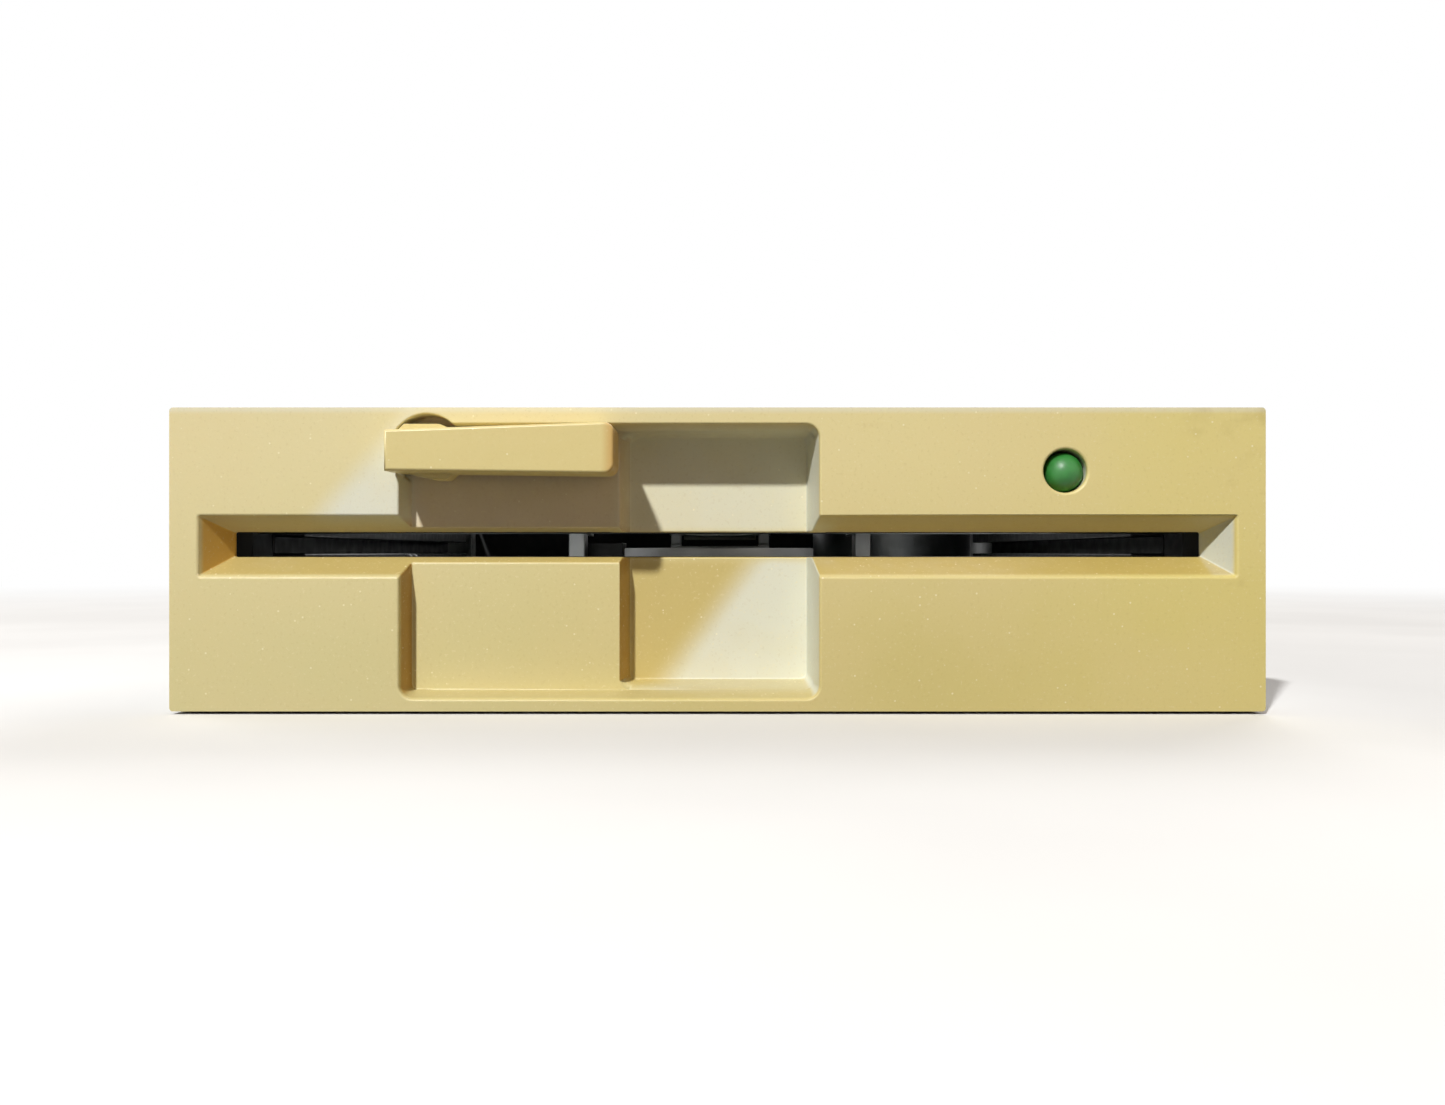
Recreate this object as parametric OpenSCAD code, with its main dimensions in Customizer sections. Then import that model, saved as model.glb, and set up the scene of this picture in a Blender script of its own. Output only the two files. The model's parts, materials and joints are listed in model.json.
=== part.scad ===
// Half-height drive for 5.25-inch flexible disks, with a turning lever.
// Millimetres, +Z up, bezel facing -Y. Every outline is drawn with y measured
// back from the front face of the bezel; in_frame() then moves it so that the
// origin is the centre of the four bottom mounting holes.

/* [Bezel] */
// Width of the bezel
bezel_w = 148.6; // [147.4:0.1:151]
// Height of the bezel
bezel_h = 41.2; // [41.2:0.1:42]
// Depth of the bezel's rim
bezel_d = 5.2; // [5:0.1:6]
// Thickness of the bezel's front wall and rim
bezel_wall = 2.2; // [1.8:0.1:2.4]
// Radius of the bezel's outer corners
bezel_corner_r = 0.5; // [0.3:0.1:1]
// Width of the disk slot at its throat
slot_w = 135.2; // [134.6:0.1:136]
// Height of the disk slot at its throat
slot_h = 3.5; // [3.2:0.1:4]
// Height of the disk plane above the base
disk_z = 22.65; // [22.4:0.05:22.9]
// Depth at which the slot's flare ends
slot_flare_d = 5.5; // [5:0.1:6]
// Flare of the slot at each end
slot_flare_end = 2.9; // [2:0.1:3]
// Flare of the slot upwards
slot_flare_up = 2.2; // [1.5:0.1:2.5]
// Flare of the slot downwards
slot_flare_down = 2.7; // [2:0.1:3]

/* [Recess and finger notch] */
// Distance from the drive's centre to the recess's left side
recess_left = 43.25; // [42.8:0.05:44]
// Half width of the finger notch, at the right end of the recess
notch_half_w = 13.9; // [12:0.1:13.9]
// Height of the recess's lower edge
recess_z0 = 1.6; // [1.6:0.1:3]
// Height of the recess's upper edge
recess_z1 = 39; // [38.9:0.1:39.1]
// Radius of the recess's corners
recess_corner_r = 1.9; // [1.2:0.1:2.2]
// Depth of the shallow part under the lever
recess_d = 4; // [3.9:0.05:4.2]
// Depth of the finger notch
notch_d = 8.5; // [7:0.1:8.6]

/* [Lever] */
// Distance of the lever's axis left of the drive's centre
lever_axis_x = 39.4; // [39.3:0.05:39.5]
// Height of the lever's axis
lever_axis_z = 35.3; // [35.2:0.05:35.4]
// Radius of the round seat round the lever's hub
lever_seat_r = 5.04; // [5:0.02:5.1]
// Length of the lever from its axis to its tip
lever_reach = 25.8; // [22:0.1:26]
// How far the lever stands out of the bezel
lever_proud = 5.5; // [3:0.1:7]
// Radius of the lever's shaft
lever_shaft_r = 2; // [1.9:0.05:2.1]

/* [Chassis] */
// Width of the chassis
body_w = 146.05; // [145.8:0.05:146.3]
// Depth from the bezel's face to the rear of the chassis
body_d = 198; // [198:0.5:203]
// Thickness of the side walls
side_wall = 2.6; // [2.4:0.1:2.8]
// Height of the deck's underside
deck_z = 13; // [12.9:0.05:13.1]
// Thickness of the deck
deck_t = 2.5; // [2.3:0.1:2.6]
// Height of the side walls beside the lever bridge
front_wall_h = 38.4; // [38.4:0.1:38.6]
// Height of the side walls under the main board
rear_wall_h = 34; // [34:0.1:34.2]

/* [Mounting holes] */
// Distance of the bottom holes from the drive's sides
hole_inset = 3.175; // [3.1:0.025:3.4]
// Spacing of the holes along the drive
hole_span_y = 79.2; // [79:0.1:80]
// Distance from the chassis front to the first holes
hole_setback = 47.5; // [47.2:0.1:48]
// Height of the side holes
side_hole_z = 10; // [9.8:0.1:10]
// Radius of the tapped mounting holes
tap_r = 1.25; // [1.2:0.05:1.3]

/* [Spindle] */
// Depth of the spindle's axis behind the bezel's face
spindle_y = 73; // [72.8:0.1:73.2]
// Radius of the spindle shaft
spindle_r = 3; // [2.8:0.1:3.1]
// Radius of the drive hub
hub_r = 18.2; // [18:0.1:18.6]
// Radius of the motor's rotor
rotor_r = 36; // [35.5:0.1:36.5]

/* [Heads] */
// Radius of the outermost track
track_r = 57.15; // [57:0.05:57.2]
// Travel of the heads towards the spindle
head_travel = 20.6; // [19:0.1:20.9]
// Radius of the two guide rods
rod_r = 2.5; // [2.4:0.05:2.6]
// Distance of each guide rod from the centre
rod_x = 17; // [16.8:0.1:17.2]
// Radius of the capstan that pulls the steel band
capstan_r = 8.42; // [8.3:0.01:8.5]
// Radius of the stepper motor
stepper_r = 21; // [20.5:0.1:21.1]

/* [Electronics] */
// Thickness of the main circuit board
board_t = 1.6; // [1.5:0.1:1.7]
// Width of the board's edge connector
tongue_w = 44.4; // [44.2:0.1:45]
// Radius of the activity lamp
led_r = 2.7; // [2.5:0.05:2.75]

/* [Hidden] */
$fn = 64;

// How far every cut runs past the surface it starts from
overrun = 1;
// Gap between pieces that are assembled loosely
fit_gap = 0.2;
// Radial gap of every turning or sliding fit
run_gap = 0.02;
// Gap between pieces that pass each other
pass_gap = 0.5;
// Room beside the flexible disk's jacket for its guides
jacket_side_gap = 3.725;
// Sheet steel of the bridge and the clamp arm
sheet_t = 1.2;
bridge_t = 1;

// Heights and depths that several pieces share
deck_top = deck_z + deck_t;
wall_in = body_w / 2 - side_wall;
hole_y0 = bezel_d + hole_setback;
hole_y1 = hole_y0 + hole_span_y;
origin_y = hole_y0 + hole_span_y / 2;
throat_z0 = disk_z - slot_h / 2;
throat_z1 = disk_z + slot_h / 2;
slot_half_w = slot_w / 2;
hole_span_x = body_w - 2 * hole_inset;
jacket_half_w = wall_in - jacket_side_gap;

module in_frame() translate([0, -origin_y, 0]) children();

// Box between two planes on each axis
module block(x0, x1, y0, y1, z0, z1)
    translate([x0, y0, z0]) cube([x1 - x0, y1 - y0, z1 - z0]);

// Upright cylinder
module post(x, y, z0, z1, r) translate([x, y, z0]) cylinder(r = r, h = z1 - z0);

// Cylinders that lie along Y and along X
module bar_y(x, z, y0, y1, r)
    translate([x, y1, z]) rotate([90, 0, 0]) cylinder(r = r, h = y1 - y0);
module bar_x(y, z, x0, x1, r)
    translate([x0, y, z]) rotate([0, 90, 0]) cylinder(r = r, h = x1 - x0);

// Outline in X and Z, given depth along Y
module slab_y(y0, y1) translate([0, y1, 0]) rotate([90, 0, 0]) linear_extrude(y1 - y0) children();

// Outline in Y and Z, given length along X
module slab_x(x0, x1) translate([x0, 0, 0]) rotate([90, 0, 90]) linear_extrude(x1 - x0) children();

module both_sides() {
    children();
    mirror([1, 0, 0]) children();
}

// Rectangle from corner to corner with round corners
module round_rect(x0, z0, x1, z1, r) {
    translate([x0 + r, z0]) square([x1 - x0 - 2 * r, z1 - z0]);
    translate([x0, z0 + r]) square([x1 - x0, z1 - z0 - 2 * r]);
    for (x = [x0 + r, x1 - r], z = [z0 + r, z1 - r]) translate([x, z]) circle(r);
}

// Screws: the origin is under the head and the shank points down
screw_r = tap_r - run_gap;
head_r = 2.7;
head_h = 1.6;
cross_w = 0.8;
cross_l = 3.2;
cross_d = 0.9;
module pan_screw(shank_l, r = screw_r, cap_r = head_r, cap_h = head_h) {
    difference() {
        union() {
            cylinder(r = cap_r, h = cap_h / 2);
            translate([0, 0, cap_h / 2]) cylinder(r1 = cap_r, r2 = cap_r * 0.8, h = cap_h / 2);
        }
        translate([0, 0, cap_h - cross_d]) cross_cut();
    }
    translate([0, 0, -shank_l]) cylinder(r = r, h = shank_l);
}
module flat_screw(shank_l, r = screw_r, cap_r = head_r, cap_h = head_h) {
    difference() {
        translate([0, 0, -cap_h]) cylinder(r1 = r, r2 = cap_r, h = cap_h);
        translate([0, 0, -cross_d]) cross_cut();
    }
    translate([0, 0, -shank_l]) cylinder(r = r, h = shank_l - cap_h);
}
module cross_cut() {
    translate([-cross_l / 2, -cross_w / 2, 0]) cube([cross_l, cross_w, cross_d + overrun]);
    translate([-cross_w / 2, -cross_l / 2, 0]) cube([cross_w, cross_l, cross_d + overrun]);
}

// Bezel
slot_ease = 0.3;
recess_draft = 0.8;
notch_draft = 1.2;
notch_draft_low = 1.9;
notch_step_out = 0.6;
notch_step_in = 1.35;
floor_corner_r = 1;
pocket_wall = 1.7;
seat_wall = 1.1;
led_x = 47.2;
led_z = 32.6;
led_gap = 0.25;
led_bore_r = led_r + led_gap;
led_rim_r = led_bore_r + led_gap;
led_collar_wall = 1.5;
led_collar_r = led_bore_r + led_collar_wall;
led_collar_y = 6.6;
ear_w = 12;
ear_t = 2;
ear_l = 10;
ear_z0 = 4;
ear_h = 8;
ear_x1 = wall_in - fit_gap;
ear_screw_y = bezel_d + ear_l / 2;
ear_screw_z = ear_z0 + ear_h / 2;
recess_x0 = -recess_left;
notch_back = notch_d + pocket_wall;
recess_back = recess_d + pocket_wall;
lever_bore_r = lever_shaft_r + 0.3;

// Flared mouth of the disk slot, widest at the front face
module slot_mouth(y1) {
    intersection() {
        slab_x(-slot_half_w - slot_flare_end, slot_half_w + slot_flare_end) polygon([
            [0, throat_z0 - slot_flare_down], [slot_flare_d, throat_z0], [y1, throat_z0],
            [y1, throat_z1], [slot_flare_d, throat_z1], [0, throat_z1 + slot_flare_up]]);
        translate([0, 0, throat_z0 - slot_flare_down])
            linear_extrude(slot_h + slot_flare_down + slot_flare_up) polygon([
                [-slot_half_w - slot_flare_end, 0], [slot_half_w + slot_flare_end, 0],
                [slot_half_w, slot_flare_d], [slot_half_w, y1],
                [-slot_half_w, y1], [-slot_half_w, slot_flare_d]]);
    }
    slab_y(-overrun, 0) translate([-slot_half_w - slot_flare_end, throat_z0 - slot_flare_down])
        square([slot_w + 2 * slot_flare_end, slot_h + slot_flare_down + slot_flare_up]);
}

// Pocket that narrows from its outline at the face to its floor
module pocket(x0, z0, x1, z1, r0, fx0, fz0, fx1, fz1, r1, depth) {
    skin = depth / 1000;
    hull() {
        slab_y(-overrun, 0) round_rect(x0, z0, x1, z1, r0, $fn = 32);
        slab_y(depth - skin, depth) round_rect(fx0, fz0, fx1, fz1, r1, $fn = 32);
    }
}

// The shallow part's walls lie in the planes of the deep notch's walls
module bezel() {
    share = recess_d / notch_d;
    color("#d9c98d") in_frame() difference() {
        union() {
            slab_y(0, bezel_d)
                round_rect(-bezel_w / 2, 0, bezel_w / 2, bezel_h, bezel_corner_r);
            // shell behind the lever recess and the finger notch
            block(recess_x0 - pocket_wall, notch_half_w, 0, recess_back, 0, bezel_h);
            block(-notch_half_w - pocket_wall, notch_half_w + pocket_wall, 0, notch_back, 0, bezel_h);
            // shell round the throat of the slot
            block(-slot_half_w - pocket_wall, slot_half_w + pocket_wall, 0, slot_flare_d + overrun,
                throat_z0 - bezel_wall, throat_z1 + bezel_wall);
            bar_y(led_x, led_z, 0, led_collar_y, led_collar_r);
            both_sides() block(ear_x1 - ear_t, ear_x1, 0, bezel_d + ear_l, ear_z0, ear_z0 + ear_h);
        }
        // hollow back of the rim, left and right of the shells
        bezel_hollow(-bezel_w / 2 + bezel_wall, recess_x0 - pocket_wall);
        bezel_hollow(notch_half_w + pocket_wall, bezel_w / 2 - bezel_wall);
        slot_mouth(notch_back + overrun);
        pocket(recess_x0, recess_z0, notch_half_w, recess_z1, recess_corner_r,
            recess_x0 + recess_draft, recess_z0 + notch_draft_low * share, notch_half_w - notch_draft * share,
            recess_z1 - notch_draft * share, floor_corner_r, recess_d);
        pocket(-notch_half_w - notch_step_out, recess_z0, notch_half_w, recess_z1, recess_corner_r,
            -notch_half_w + notch_step_in, recess_z0 + notch_draft_low,
            notch_half_w - notch_draft, recess_z1 - notch_draft, floor_corner_r, notch_d);
        bar_y(-lever_axis_x, lever_axis_z, -overrun, recess_d, lever_seat_r);
        bar_y(-lever_axis_x, lever_axis_z, 0, notch_back, lever_bore_r);
        bar_y(led_x, led_z, -overrun, led_collar_y + overrun, led_bore_r);
        translate([led_x, 0, led_z]) rotate([-90, 0, 0])
            cylinder(r1 = led_rim_r, r2 = led_bore_r, h = led_rim_r - led_bore_r);
        both_sides() bar_x(ear_screw_y, ear_screw_z, ear_x1 - ear_t - overrun, ear_x1 + overrun, tap_r);
    }
}

// Hollow behind the front wall between two x places, clear of slot and lamp
module bezel_hollow(x0, x1) {
    difference() {
        union() {
            block(x0, x1, bezel_wall, bezel_d + overrun, bezel_wall, throat_z0 - slot_flare_down);
            block(x0, x1, bezel_wall, bezel_d + overrun, throat_z1 + slot_flare_up + bezel_wall / 2,
                bezel_h - bezel_wall);
        }
        bar_y(led_x, led_z, 0, led_collar_y, led_collar_r);
        both_sides() block(ear_x1 - ear_t, ear_x1, 0, bezel_d + ear_l, ear_z0, ear_z0 + ear_h);
        bar_y(-lever_axis_x, lever_axis_z, 0, bezel_d + overrun, lever_seat_r + seat_wall);
    }
}

bezel_screw_l = side_wall + ear_t;
module bezel_screws() {
    color("silver") in_frame() both_sides() translate([body_w / 2, ear_screw_y, ear_screw_z])
        rotate([0, 90, 0]) flat_screw(bezel_screw_l);
}

// Activity lamp
led_cx = led_x + led_gap * 0.6;
led_cz = led_z - led_gap * 0.5;
led_tip_y = -0.5;
led_back_y = 8.1;
led_flange_over = 0.4;
led_flange_r = led_r + led_flange_over;
led_flange_t = 1;
led_leg_r = 0.3;
led_leg_x = 1.27;
led_leg_l = 4.4;
led_leg_y = led_back_y + led_leg_l;
holder_y0 = led_collar_y + fit_gap;
holder_l = 4.2;
holder_y1 = holder_y0 + holder_l;
module activity_led() {
    color("#3b9045") in_frame() {
        translate([led_cx, led_tip_y + led_r, led_cz]) sphere(led_r);
        bar_y(led_cx, led_cz, led_tip_y + led_r, led_back_y, led_r);
        bar_y(led_cx, led_cz, led_back_y - led_flange_t, led_back_y, led_flange_r);
        for (s = [-1, 1]) bar_y(led_cx + s * led_leg_x, led_cz, led_back_y, led_leg_y, led_leg_r);
    }
}
module led_holder() {
    color("#26282a") in_frame() difference() {
        bar_y(led_cx, led_cz, holder_y0, holder_y1, led_collar_r);
        bar_y(led_cx, led_cz, holder_y0 - overrun, led_back_y, led_flange_r);
        bar_y(led_cx, led_cz, led_back_y, holder_y1 + overrun, led_leg_x + led_leg_r + fit_gap);
    }
}

// Round wire through a list of places, one ring of corners at each place
wire_r = 0.55;
wire_sides = 8;
function along(pts, i) = pts[min(i + 1, len(pts) - 1)] - pts[max(i - 1, 0)];
function unit(v) = v / norm(v);
module wire(pts, r) {
    rings = [for (i = [0 : len(pts) - 1])
        let(t = unit(along(pts, i)), u = unit(cross(t, [1, 0, 0])), v = cross(t, u))
        for (k = [0 : wire_sides - 1])
            pts[i] + r * (cos(360 * k / wire_sides) * u + sin(360 * k / wire_sides) * v)];
    last = (len(pts) - 1) * wire_sides;
    polyhedron(rings, concat(
        [[for (k = [wire_sides - 1 : -1 : 0]) k]], [[for (k = [0 : wire_sides - 1]) last + k]],
        [for (i = [0 : len(pts) - 2], k = [0 : wire_sides - 1])
            let(a = i * wire_sides, b = (k + 1) % wire_sides)
            [a + k, a + b, a + b + wire_sides, a + k + wire_sides]]), convexity = 4);
}

// Chassis
seat_w = 7;
lug_reach = 4.2;
lug_x0 = hole_span_x / 2 - lug_reach;
lug_w = 10;
lug_hole_d = 7;
bore_gap = 0.3;
boss_d = 8;
front_wall_y = 58;
bridge_y0 = 13;
bridge_y1 = 50;
bridge_screw_in = 5;
bridge_screw_ys = [bridge_y0 + bridge_screw_in, bridge_y1 - bridge_screw_in];
bridge_screw_wall = 3.1;
bridge_screw_x = wall_in - bridge_screw_wall;
board_y0 = 104;
board_tail = 5;
board_y1 = body_d - board_tail;
board_screw_wall = 3.6;
board_screw_x = wall_in - board_screw_wall;
board_screw_front = 6;
board_front_y = board_y0 + board_screw_front;
board_rear_y = board_y1 - bridge_screw_in;
housing_r = 8;
stepper_wall_gap = 3.425;
stepper_x = wall_in - stepper_r - stepper_wall_gap;
hinge_y = 142;
hinge_z = 30;
hinge_r = 3.6;
stepper_y = hinge_y + hinge_r + stepper_r + pass_gap;
pilot_r = 10;
window_x = 23.5;
rod_z = 16.6;
head_y = spindle_y + track_r;
carriage_front = 8.6;
carriage_l = 49;
carriage_y0 = head_y - carriage_front;
carriage_y1 = carriage_y0 + carriage_l;
saddle_t = 4;
saddle_gap = 2;
saddle_y1 = carriage_y1 + saddle_gap + pass_gap;
saddle_y0 = carriage_y0 - head_travel - saddle_gap - saddle_t;
saddle_x0 = 6;
saddle_x1 = window_x;
clamp_screw_x = 9.4;
hinge_pin_r = 1.5;
arm_half_w = 32.5;
hinge_side_gap = 0.7;
hinge_post_x0 = arm_half_w + hinge_side_gap;
hinge_post_t = 4;
guide_foot_t = 2;
guide_foot_x = 6.5;
guide_grip = 4.2;
guide_x0 = jacket_half_w - guide_grip;
guide_x1 = wall_in - pass_gap;
guide_y0 = 20;
guide_y1 = 140;
guide_screw_x = guide_x0 - guide_foot_x / 2;
guide_screw_front = 10;
guide_screw_rear = 20;
guide_screw_ys = [guide_y0 + guide_screw_front, guide_y1 - guide_screw_rear];
ring_y0 = 11.5;
ring_y1 = 19.5;
ring_foot_x = 50;
ring_foot_l = 6;
housing_flange_r = 14;
housing_screw_r = 11;
motor_z0 = 9.4;
motor_t = 1.6;
standoff_r = 3;
motor_half_w = 46;
motor_y0 = 34;
motor_y1 = 110;
motor_screw_in = 6;
motor_screw_x = motor_half_w - motor_screw_in;
motor_screw_ys = [motor_y0 + motor_screw_in, motor_y1 - motor_screw_in];
stepper_ear_out = 3.75;
stepper_ear = stepper_r + stepper_ear_out;
rear_wall_z0 = 3;
rear_wall_x1 = 28;
tab_screw_x = -33;
tab_screw_in = 8;
tab_screw_y = body_d - tab_screw_in;
index_r = 25.4;
index_a = 42;
index_hole_r = 2;
relief = pocket_wall + pass_gap / 2;

module chassis() {
    color("#b9bcbe") in_frame() difference() {
        union() {
            both_sides() {
                block(wall_in, body_w / 2, bezel_d, front_wall_y, 0, front_wall_h);
                block(wall_in, body_w / 2, bezel_d, body_d, 0, rear_wall_h);
                // lugs of the mounting holes
                for (y = [hole_y0, hole_y1])
                    block(lug_x0, wall_in + side_wall / 2, y - lug_w / 2, y + lug_w / 2, 0, deck_z);
                // bosses of the bridge and of the main board
                for (y = bridge_screw_ys)
                    block(bridge_screw_x - seat_w / 2, wall_in + side_wall / 2, y - seat_w / 2,
                        y + seat_w / 2, front_wall_h - boss_d, front_wall_h);
                block(board_screw_x - seat_w / 2, wall_in + side_wall / 2, board_front_y - seat_w / 2,
                    board_front_y + seat_w / 2, rear_wall_h - boss_d * 0.7, rear_wall_h);
                block(board_screw_x - seat_w / 2, wall_in + side_wall / 2, board_rear_y - seat_w / 2,
                    board_rear_y + seat_w / 2, deck_z, rear_wall_h);
                // posts of the clamp arm's hinge
                block(hinge_post_x0, hinge_post_x0 + hinge_post_t, hinge_y - hinge_r,
                    hinge_y + hinge_r, deck_z, hinge_z + hinge_r);
                // saddles under the ends of the guide rods
                for (y = [saddle_y0, saddle_y1])
                    block(saddle_x0, saddle_x1, y, y + saddle_t, deck_z, rod_z);
                for (y = [saddle_y0, saddle_y1])
                    block(saddle_x0, rod_x - rod_r - pass_gap, y, y + saddle_t, deck_z, rod_z + rod_r);
                // standoffs of the motor board
                for (y = motor_screw_ys)
                    post(motor_screw_x, y, motor_z0 + motor_t, deck_z + deck_t / 2, standoff_r);
            }
            block(-wall_in - side_wall / 2, wall_in + side_wall / 2, bezel_d, body_d, deck_z, deck_top);
            block(-wall_in - side_wall / 2, rear_wall_x1, body_d - side_wall, body_d, rear_wall_z0, deck_top);
        }
        // room for the shells on the bezel's back
        block(recess_x0 - relief, notch_half_w + relief, 0, notch_back + pass_gap, 0, bezel_h);
        both_sides() {
            for (y = [hole_y0, hole_y1]) {
                post(hole_span_x / 2, y, -overrun, lug_hole_d, tap_r);
                bar_x(y, side_hole_z, body_w / 2 - lug_hole_d, body_w / 2 + overrun, tap_r);
            }
            bar_x(ear_screw_y, ear_screw_z, wall_in - overrun, body_w / 2 + overrun, tap_r + bore_gap);
            translate([body_w / 2 - head_h - fit_gap, ear_screw_y, ear_screw_z]) rotate([0, 90, 0])
                cylinder(r1 = tap_r + bore_gap, r2 = head_r + fit_gap * 1.5, h = head_h + fit_gap);
            for (y = bridge_screw_ys)
                post(bridge_screw_x, y, front_wall_h - boss_d * 0.8, front_wall_h + overrun, tap_r);
            for (y = [board_front_y, board_rear_y])
                post(board_screw_x, y, rear_wall_h - boss_d * 0.6, rear_wall_h + overrun, tap_r);
            bar_x(hinge_y, hinge_z, hinge_post_x0 - overrun, hinge_post_x0 + hinge_post_t + overrun,
                hinge_pin_r + run_gap);
            for (y = [saddle_y0, saddle_y1])
                post(clamp_screw_x, y + saddle_t / 2, deck_z + fit_gap, rod_z + rod_r + overrun, 1);
            for (y = motor_screw_ys) post(motor_screw_x, y, motor_z0, deck_top - fit_gap, tap_r);
            for (y = guide_screw_ys) post(guide_screw_x, y, deck_z - overrun, deck_top + overrun, tap_r);
            post(ring_foot_x, ring_y1 + ring_foot_l / 2, deck_z - overrun, deck_top + overrun, tap_r);
        }
        // opening of the head carriage between the rods' saddles
        block(-window_x, window_x, saddle_y0 + saddle_t, saddle_y1, deck_z - overrun, deck_top + overrun);
        for (x = [-rod_x, rod_x]) bar_y(x, rod_z, saddle_y0 - overrun, saddle_y1 + saddle_t + overrun, rod_r);
        post(0, spindle_y, deck_z - overrun, deck_top + overrun, housing_r);
        for (a = [90, 210, 330]) translate([0, spindle_y, 0]) rotate([0, 0, a])
            post(housing_screw_r, 0, deck_z - overrun, deck_top + overrun, tap_r);
        post(stepper_x, stepper_y, deck_z - overrun, deck_top + overrun, pilot_r);
        for (s = [-1, 1]) post(stepper_x, stepper_y + s * stepper_ear, deck_z - overrun,
            deck_top + overrun, tap_r);
        post(index_r * cos(index_a), spindle_y + index_r * sin(index_a), deck_z - overrun,
            deck_top + overrun, index_hole_r);
        post(tab_screw_x, tab_screw_y, deck_z - overrun, deck_top + overrun, tap_r);
    }
}

// Bridge, shaft bearings
flange_front_y = 14;
flange_rear_y = 46;
flange_z0 = 30.4;
flange_half_w = 5.6;
bush_r = 3;
bush_over = 1;
cam_y0 = 37;
cam_y1 = 42;
cam_low = 2.75;
swing = 3.8;
hinge_to_cam = hinge_y - (cam_y0 + cam_y1) / 2;
cam_rise = hinge_to_cam * sin(swing);
cam_reach = cam_low + cam_rise;
cam_window = 2;

module front_bridge() {
    color("#9fa3a6") in_frame() difference() {
        union() {
            block(-body_w / 2 + fit_gap, body_w / 2 - fit_gap, bridge_y0, bridge_y1, front_wall_h,
                front_wall_h + bridge_t);
            for (y = [flange_front_y, flange_rear_y])
                block(-lever_axis_x - flange_half_w, -lever_axis_x + flange_half_w, y, y + sheet_t,
                    flange_z0, front_wall_h + bridge_t / 2);
        }
        for (y = [flange_front_y, flange_rear_y])
            bar_y(-lever_axis_x, lever_axis_z, y - overrun, y + sheet_t + overrun, bush_r - fit_gap * 2);
        // window over the sweep of the cam
        block(-lever_axis_x - cam_low - cam_window, -lever_axis_x + cam_reach + cam_window * 2,
            cam_y0 - cam_window, cam_y1 + cam_window, front_wall_h - overrun,
                front_wall_h + bridge_t + overrun);
        both_sides() for (y = bridge_screw_ys)
            post(bridge_screw_x, y, front_wall_h - overrun, front_wall_h + bridge_t + overrun,
                tap_r + bore_gap);
        // lightening opening between the two screws on the right
        block(wall_in / 5, wall_in * 0.75, bridge_y0 + seat_w, bridge_y1 - seat_w, front_wall_h - overrun,
            front_wall_h + bridge_t + overrun);
    }
}
module bridge_screws() {
    color("silver") in_frame() both_sides() for (y = bridge_screw_ys)
        translate([bridge_screw_x, y, front_wall_h + bridge_t]) pan_screw(boss_d * 0.7);
}
module shaft_bushes() {
    color("#e8e4d8") in_frame() for (y = [flange_front_y, flange_rear_y]) difference() {
        union() {
            bar_y(-lever_axis_x, lever_axis_z, y - bush_over, y, bush_r);
            bar_y(-lever_axis_x, lever_axis_z, y - bush_over, y + sheet_t + bush_over, bush_r - fit_gap * 2);
        }
        bar_y(-lever_axis_x, lever_axis_z, y - bush_over - overrun, y + sheet_t + bush_over + overrun,
            lever_shaft_r + run_gap);
    }
}

// Guides for the disk
groove_h = 2.6;
groove_gap = 0.5;
guide_top = 27.5;
ring_gap_h = 3.4;
ring_side_gap = 0.6;
ring_x = jacket_half_w + ring_side_gap;
ring_flare = 1.2;

module front_guide() {
    color("#1d1e20") in_frame() {
        difference() {
            block(-guide_x1, guide_x1, ring_y0, ring_y1, deck_top, guide_top);
            block(-ring_x, ring_x, ring_y0 - overrun, ring_y1 + overrun, disk_z - ring_gap_h / 2,
                disk_z + ring_gap_h / 2);
            slab_x(-ring_x, ring_x) polygon([
                [ring_y0 - overrun, disk_z - ring_gap_h / 2 - ring_flare],
                    [ring_y0, disk_z - ring_gap_h / 2 - ring_flare],
                [ring_y0 + ring_flare * 2, disk_z - ring_gap_h / 2],
                    [ring_y0 + ring_flare * 2, disk_z + ring_gap_h / 2],
                [ring_y0, disk_z + ring_gap_h / 2 + ring_flare],
                    [ring_y0 - overrun, disk_z + ring_gap_h / 2 + ring_flare]]);
        }
        both_sides() difference() {
            block(ring_foot_x - ring_foot_l / 2, ring_foot_x + ring_foot_l / 2, ring_y1,
                ring_y1 + ring_foot_l,
                deck_top, deck_top + guide_foot_t);
            post(ring_foot_x, ring_y1 + ring_foot_l / 2, deck_top - overrun,
                deck_top + guide_foot_t + overrun, tap_r + bore_gap);
        }
    }
}
module disk_guide() {
    difference() {
        union() {
            block(guide_x0, guide_x1, guide_y0, guide_y1, deck_top, guide_top);
            for (y = guide_screw_ys)
                block(guide_x0 - guide_foot_x, guide_x0 + 1, y - guide_foot_x / 2, y + guide_foot_x / 2,
                    deck_top, deck_top + guide_foot_t);
        }
        block(guide_x0 - overrun, jacket_half_w + groove_gap, guide_y0 - overrun, guide_y1 + overrun,
            disk_z - groove_h / 2, disk_z + groove_h / 2);
        for (y = guide_screw_ys)
            post(guide_screw_x, y, deck_top - overrun, deck_top + guide_foot_t + overrun, tap_r + bore_gap);
    }
}
module disk_guide_left() { color("#232527") in_frame() mirror([1, 0, 0]) disk_guide(); }
module disk_guide_right() { color("#232527") in_frame() disk_guide(); }
module guide_screws() {
    color("silver") in_frame() both_sides() {
        for (y = guide_screw_ys) translate([guide_screw_x, y, deck_top + guide_foot_t])
            pan_screw(guide_foot_t + deck_t);
        translate([ring_foot_x, ring_y1 + ring_foot_l / 2, deck_top + guide_foot_t])
            pan_screw(guide_foot_t + deck_t);
    }
}

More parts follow.
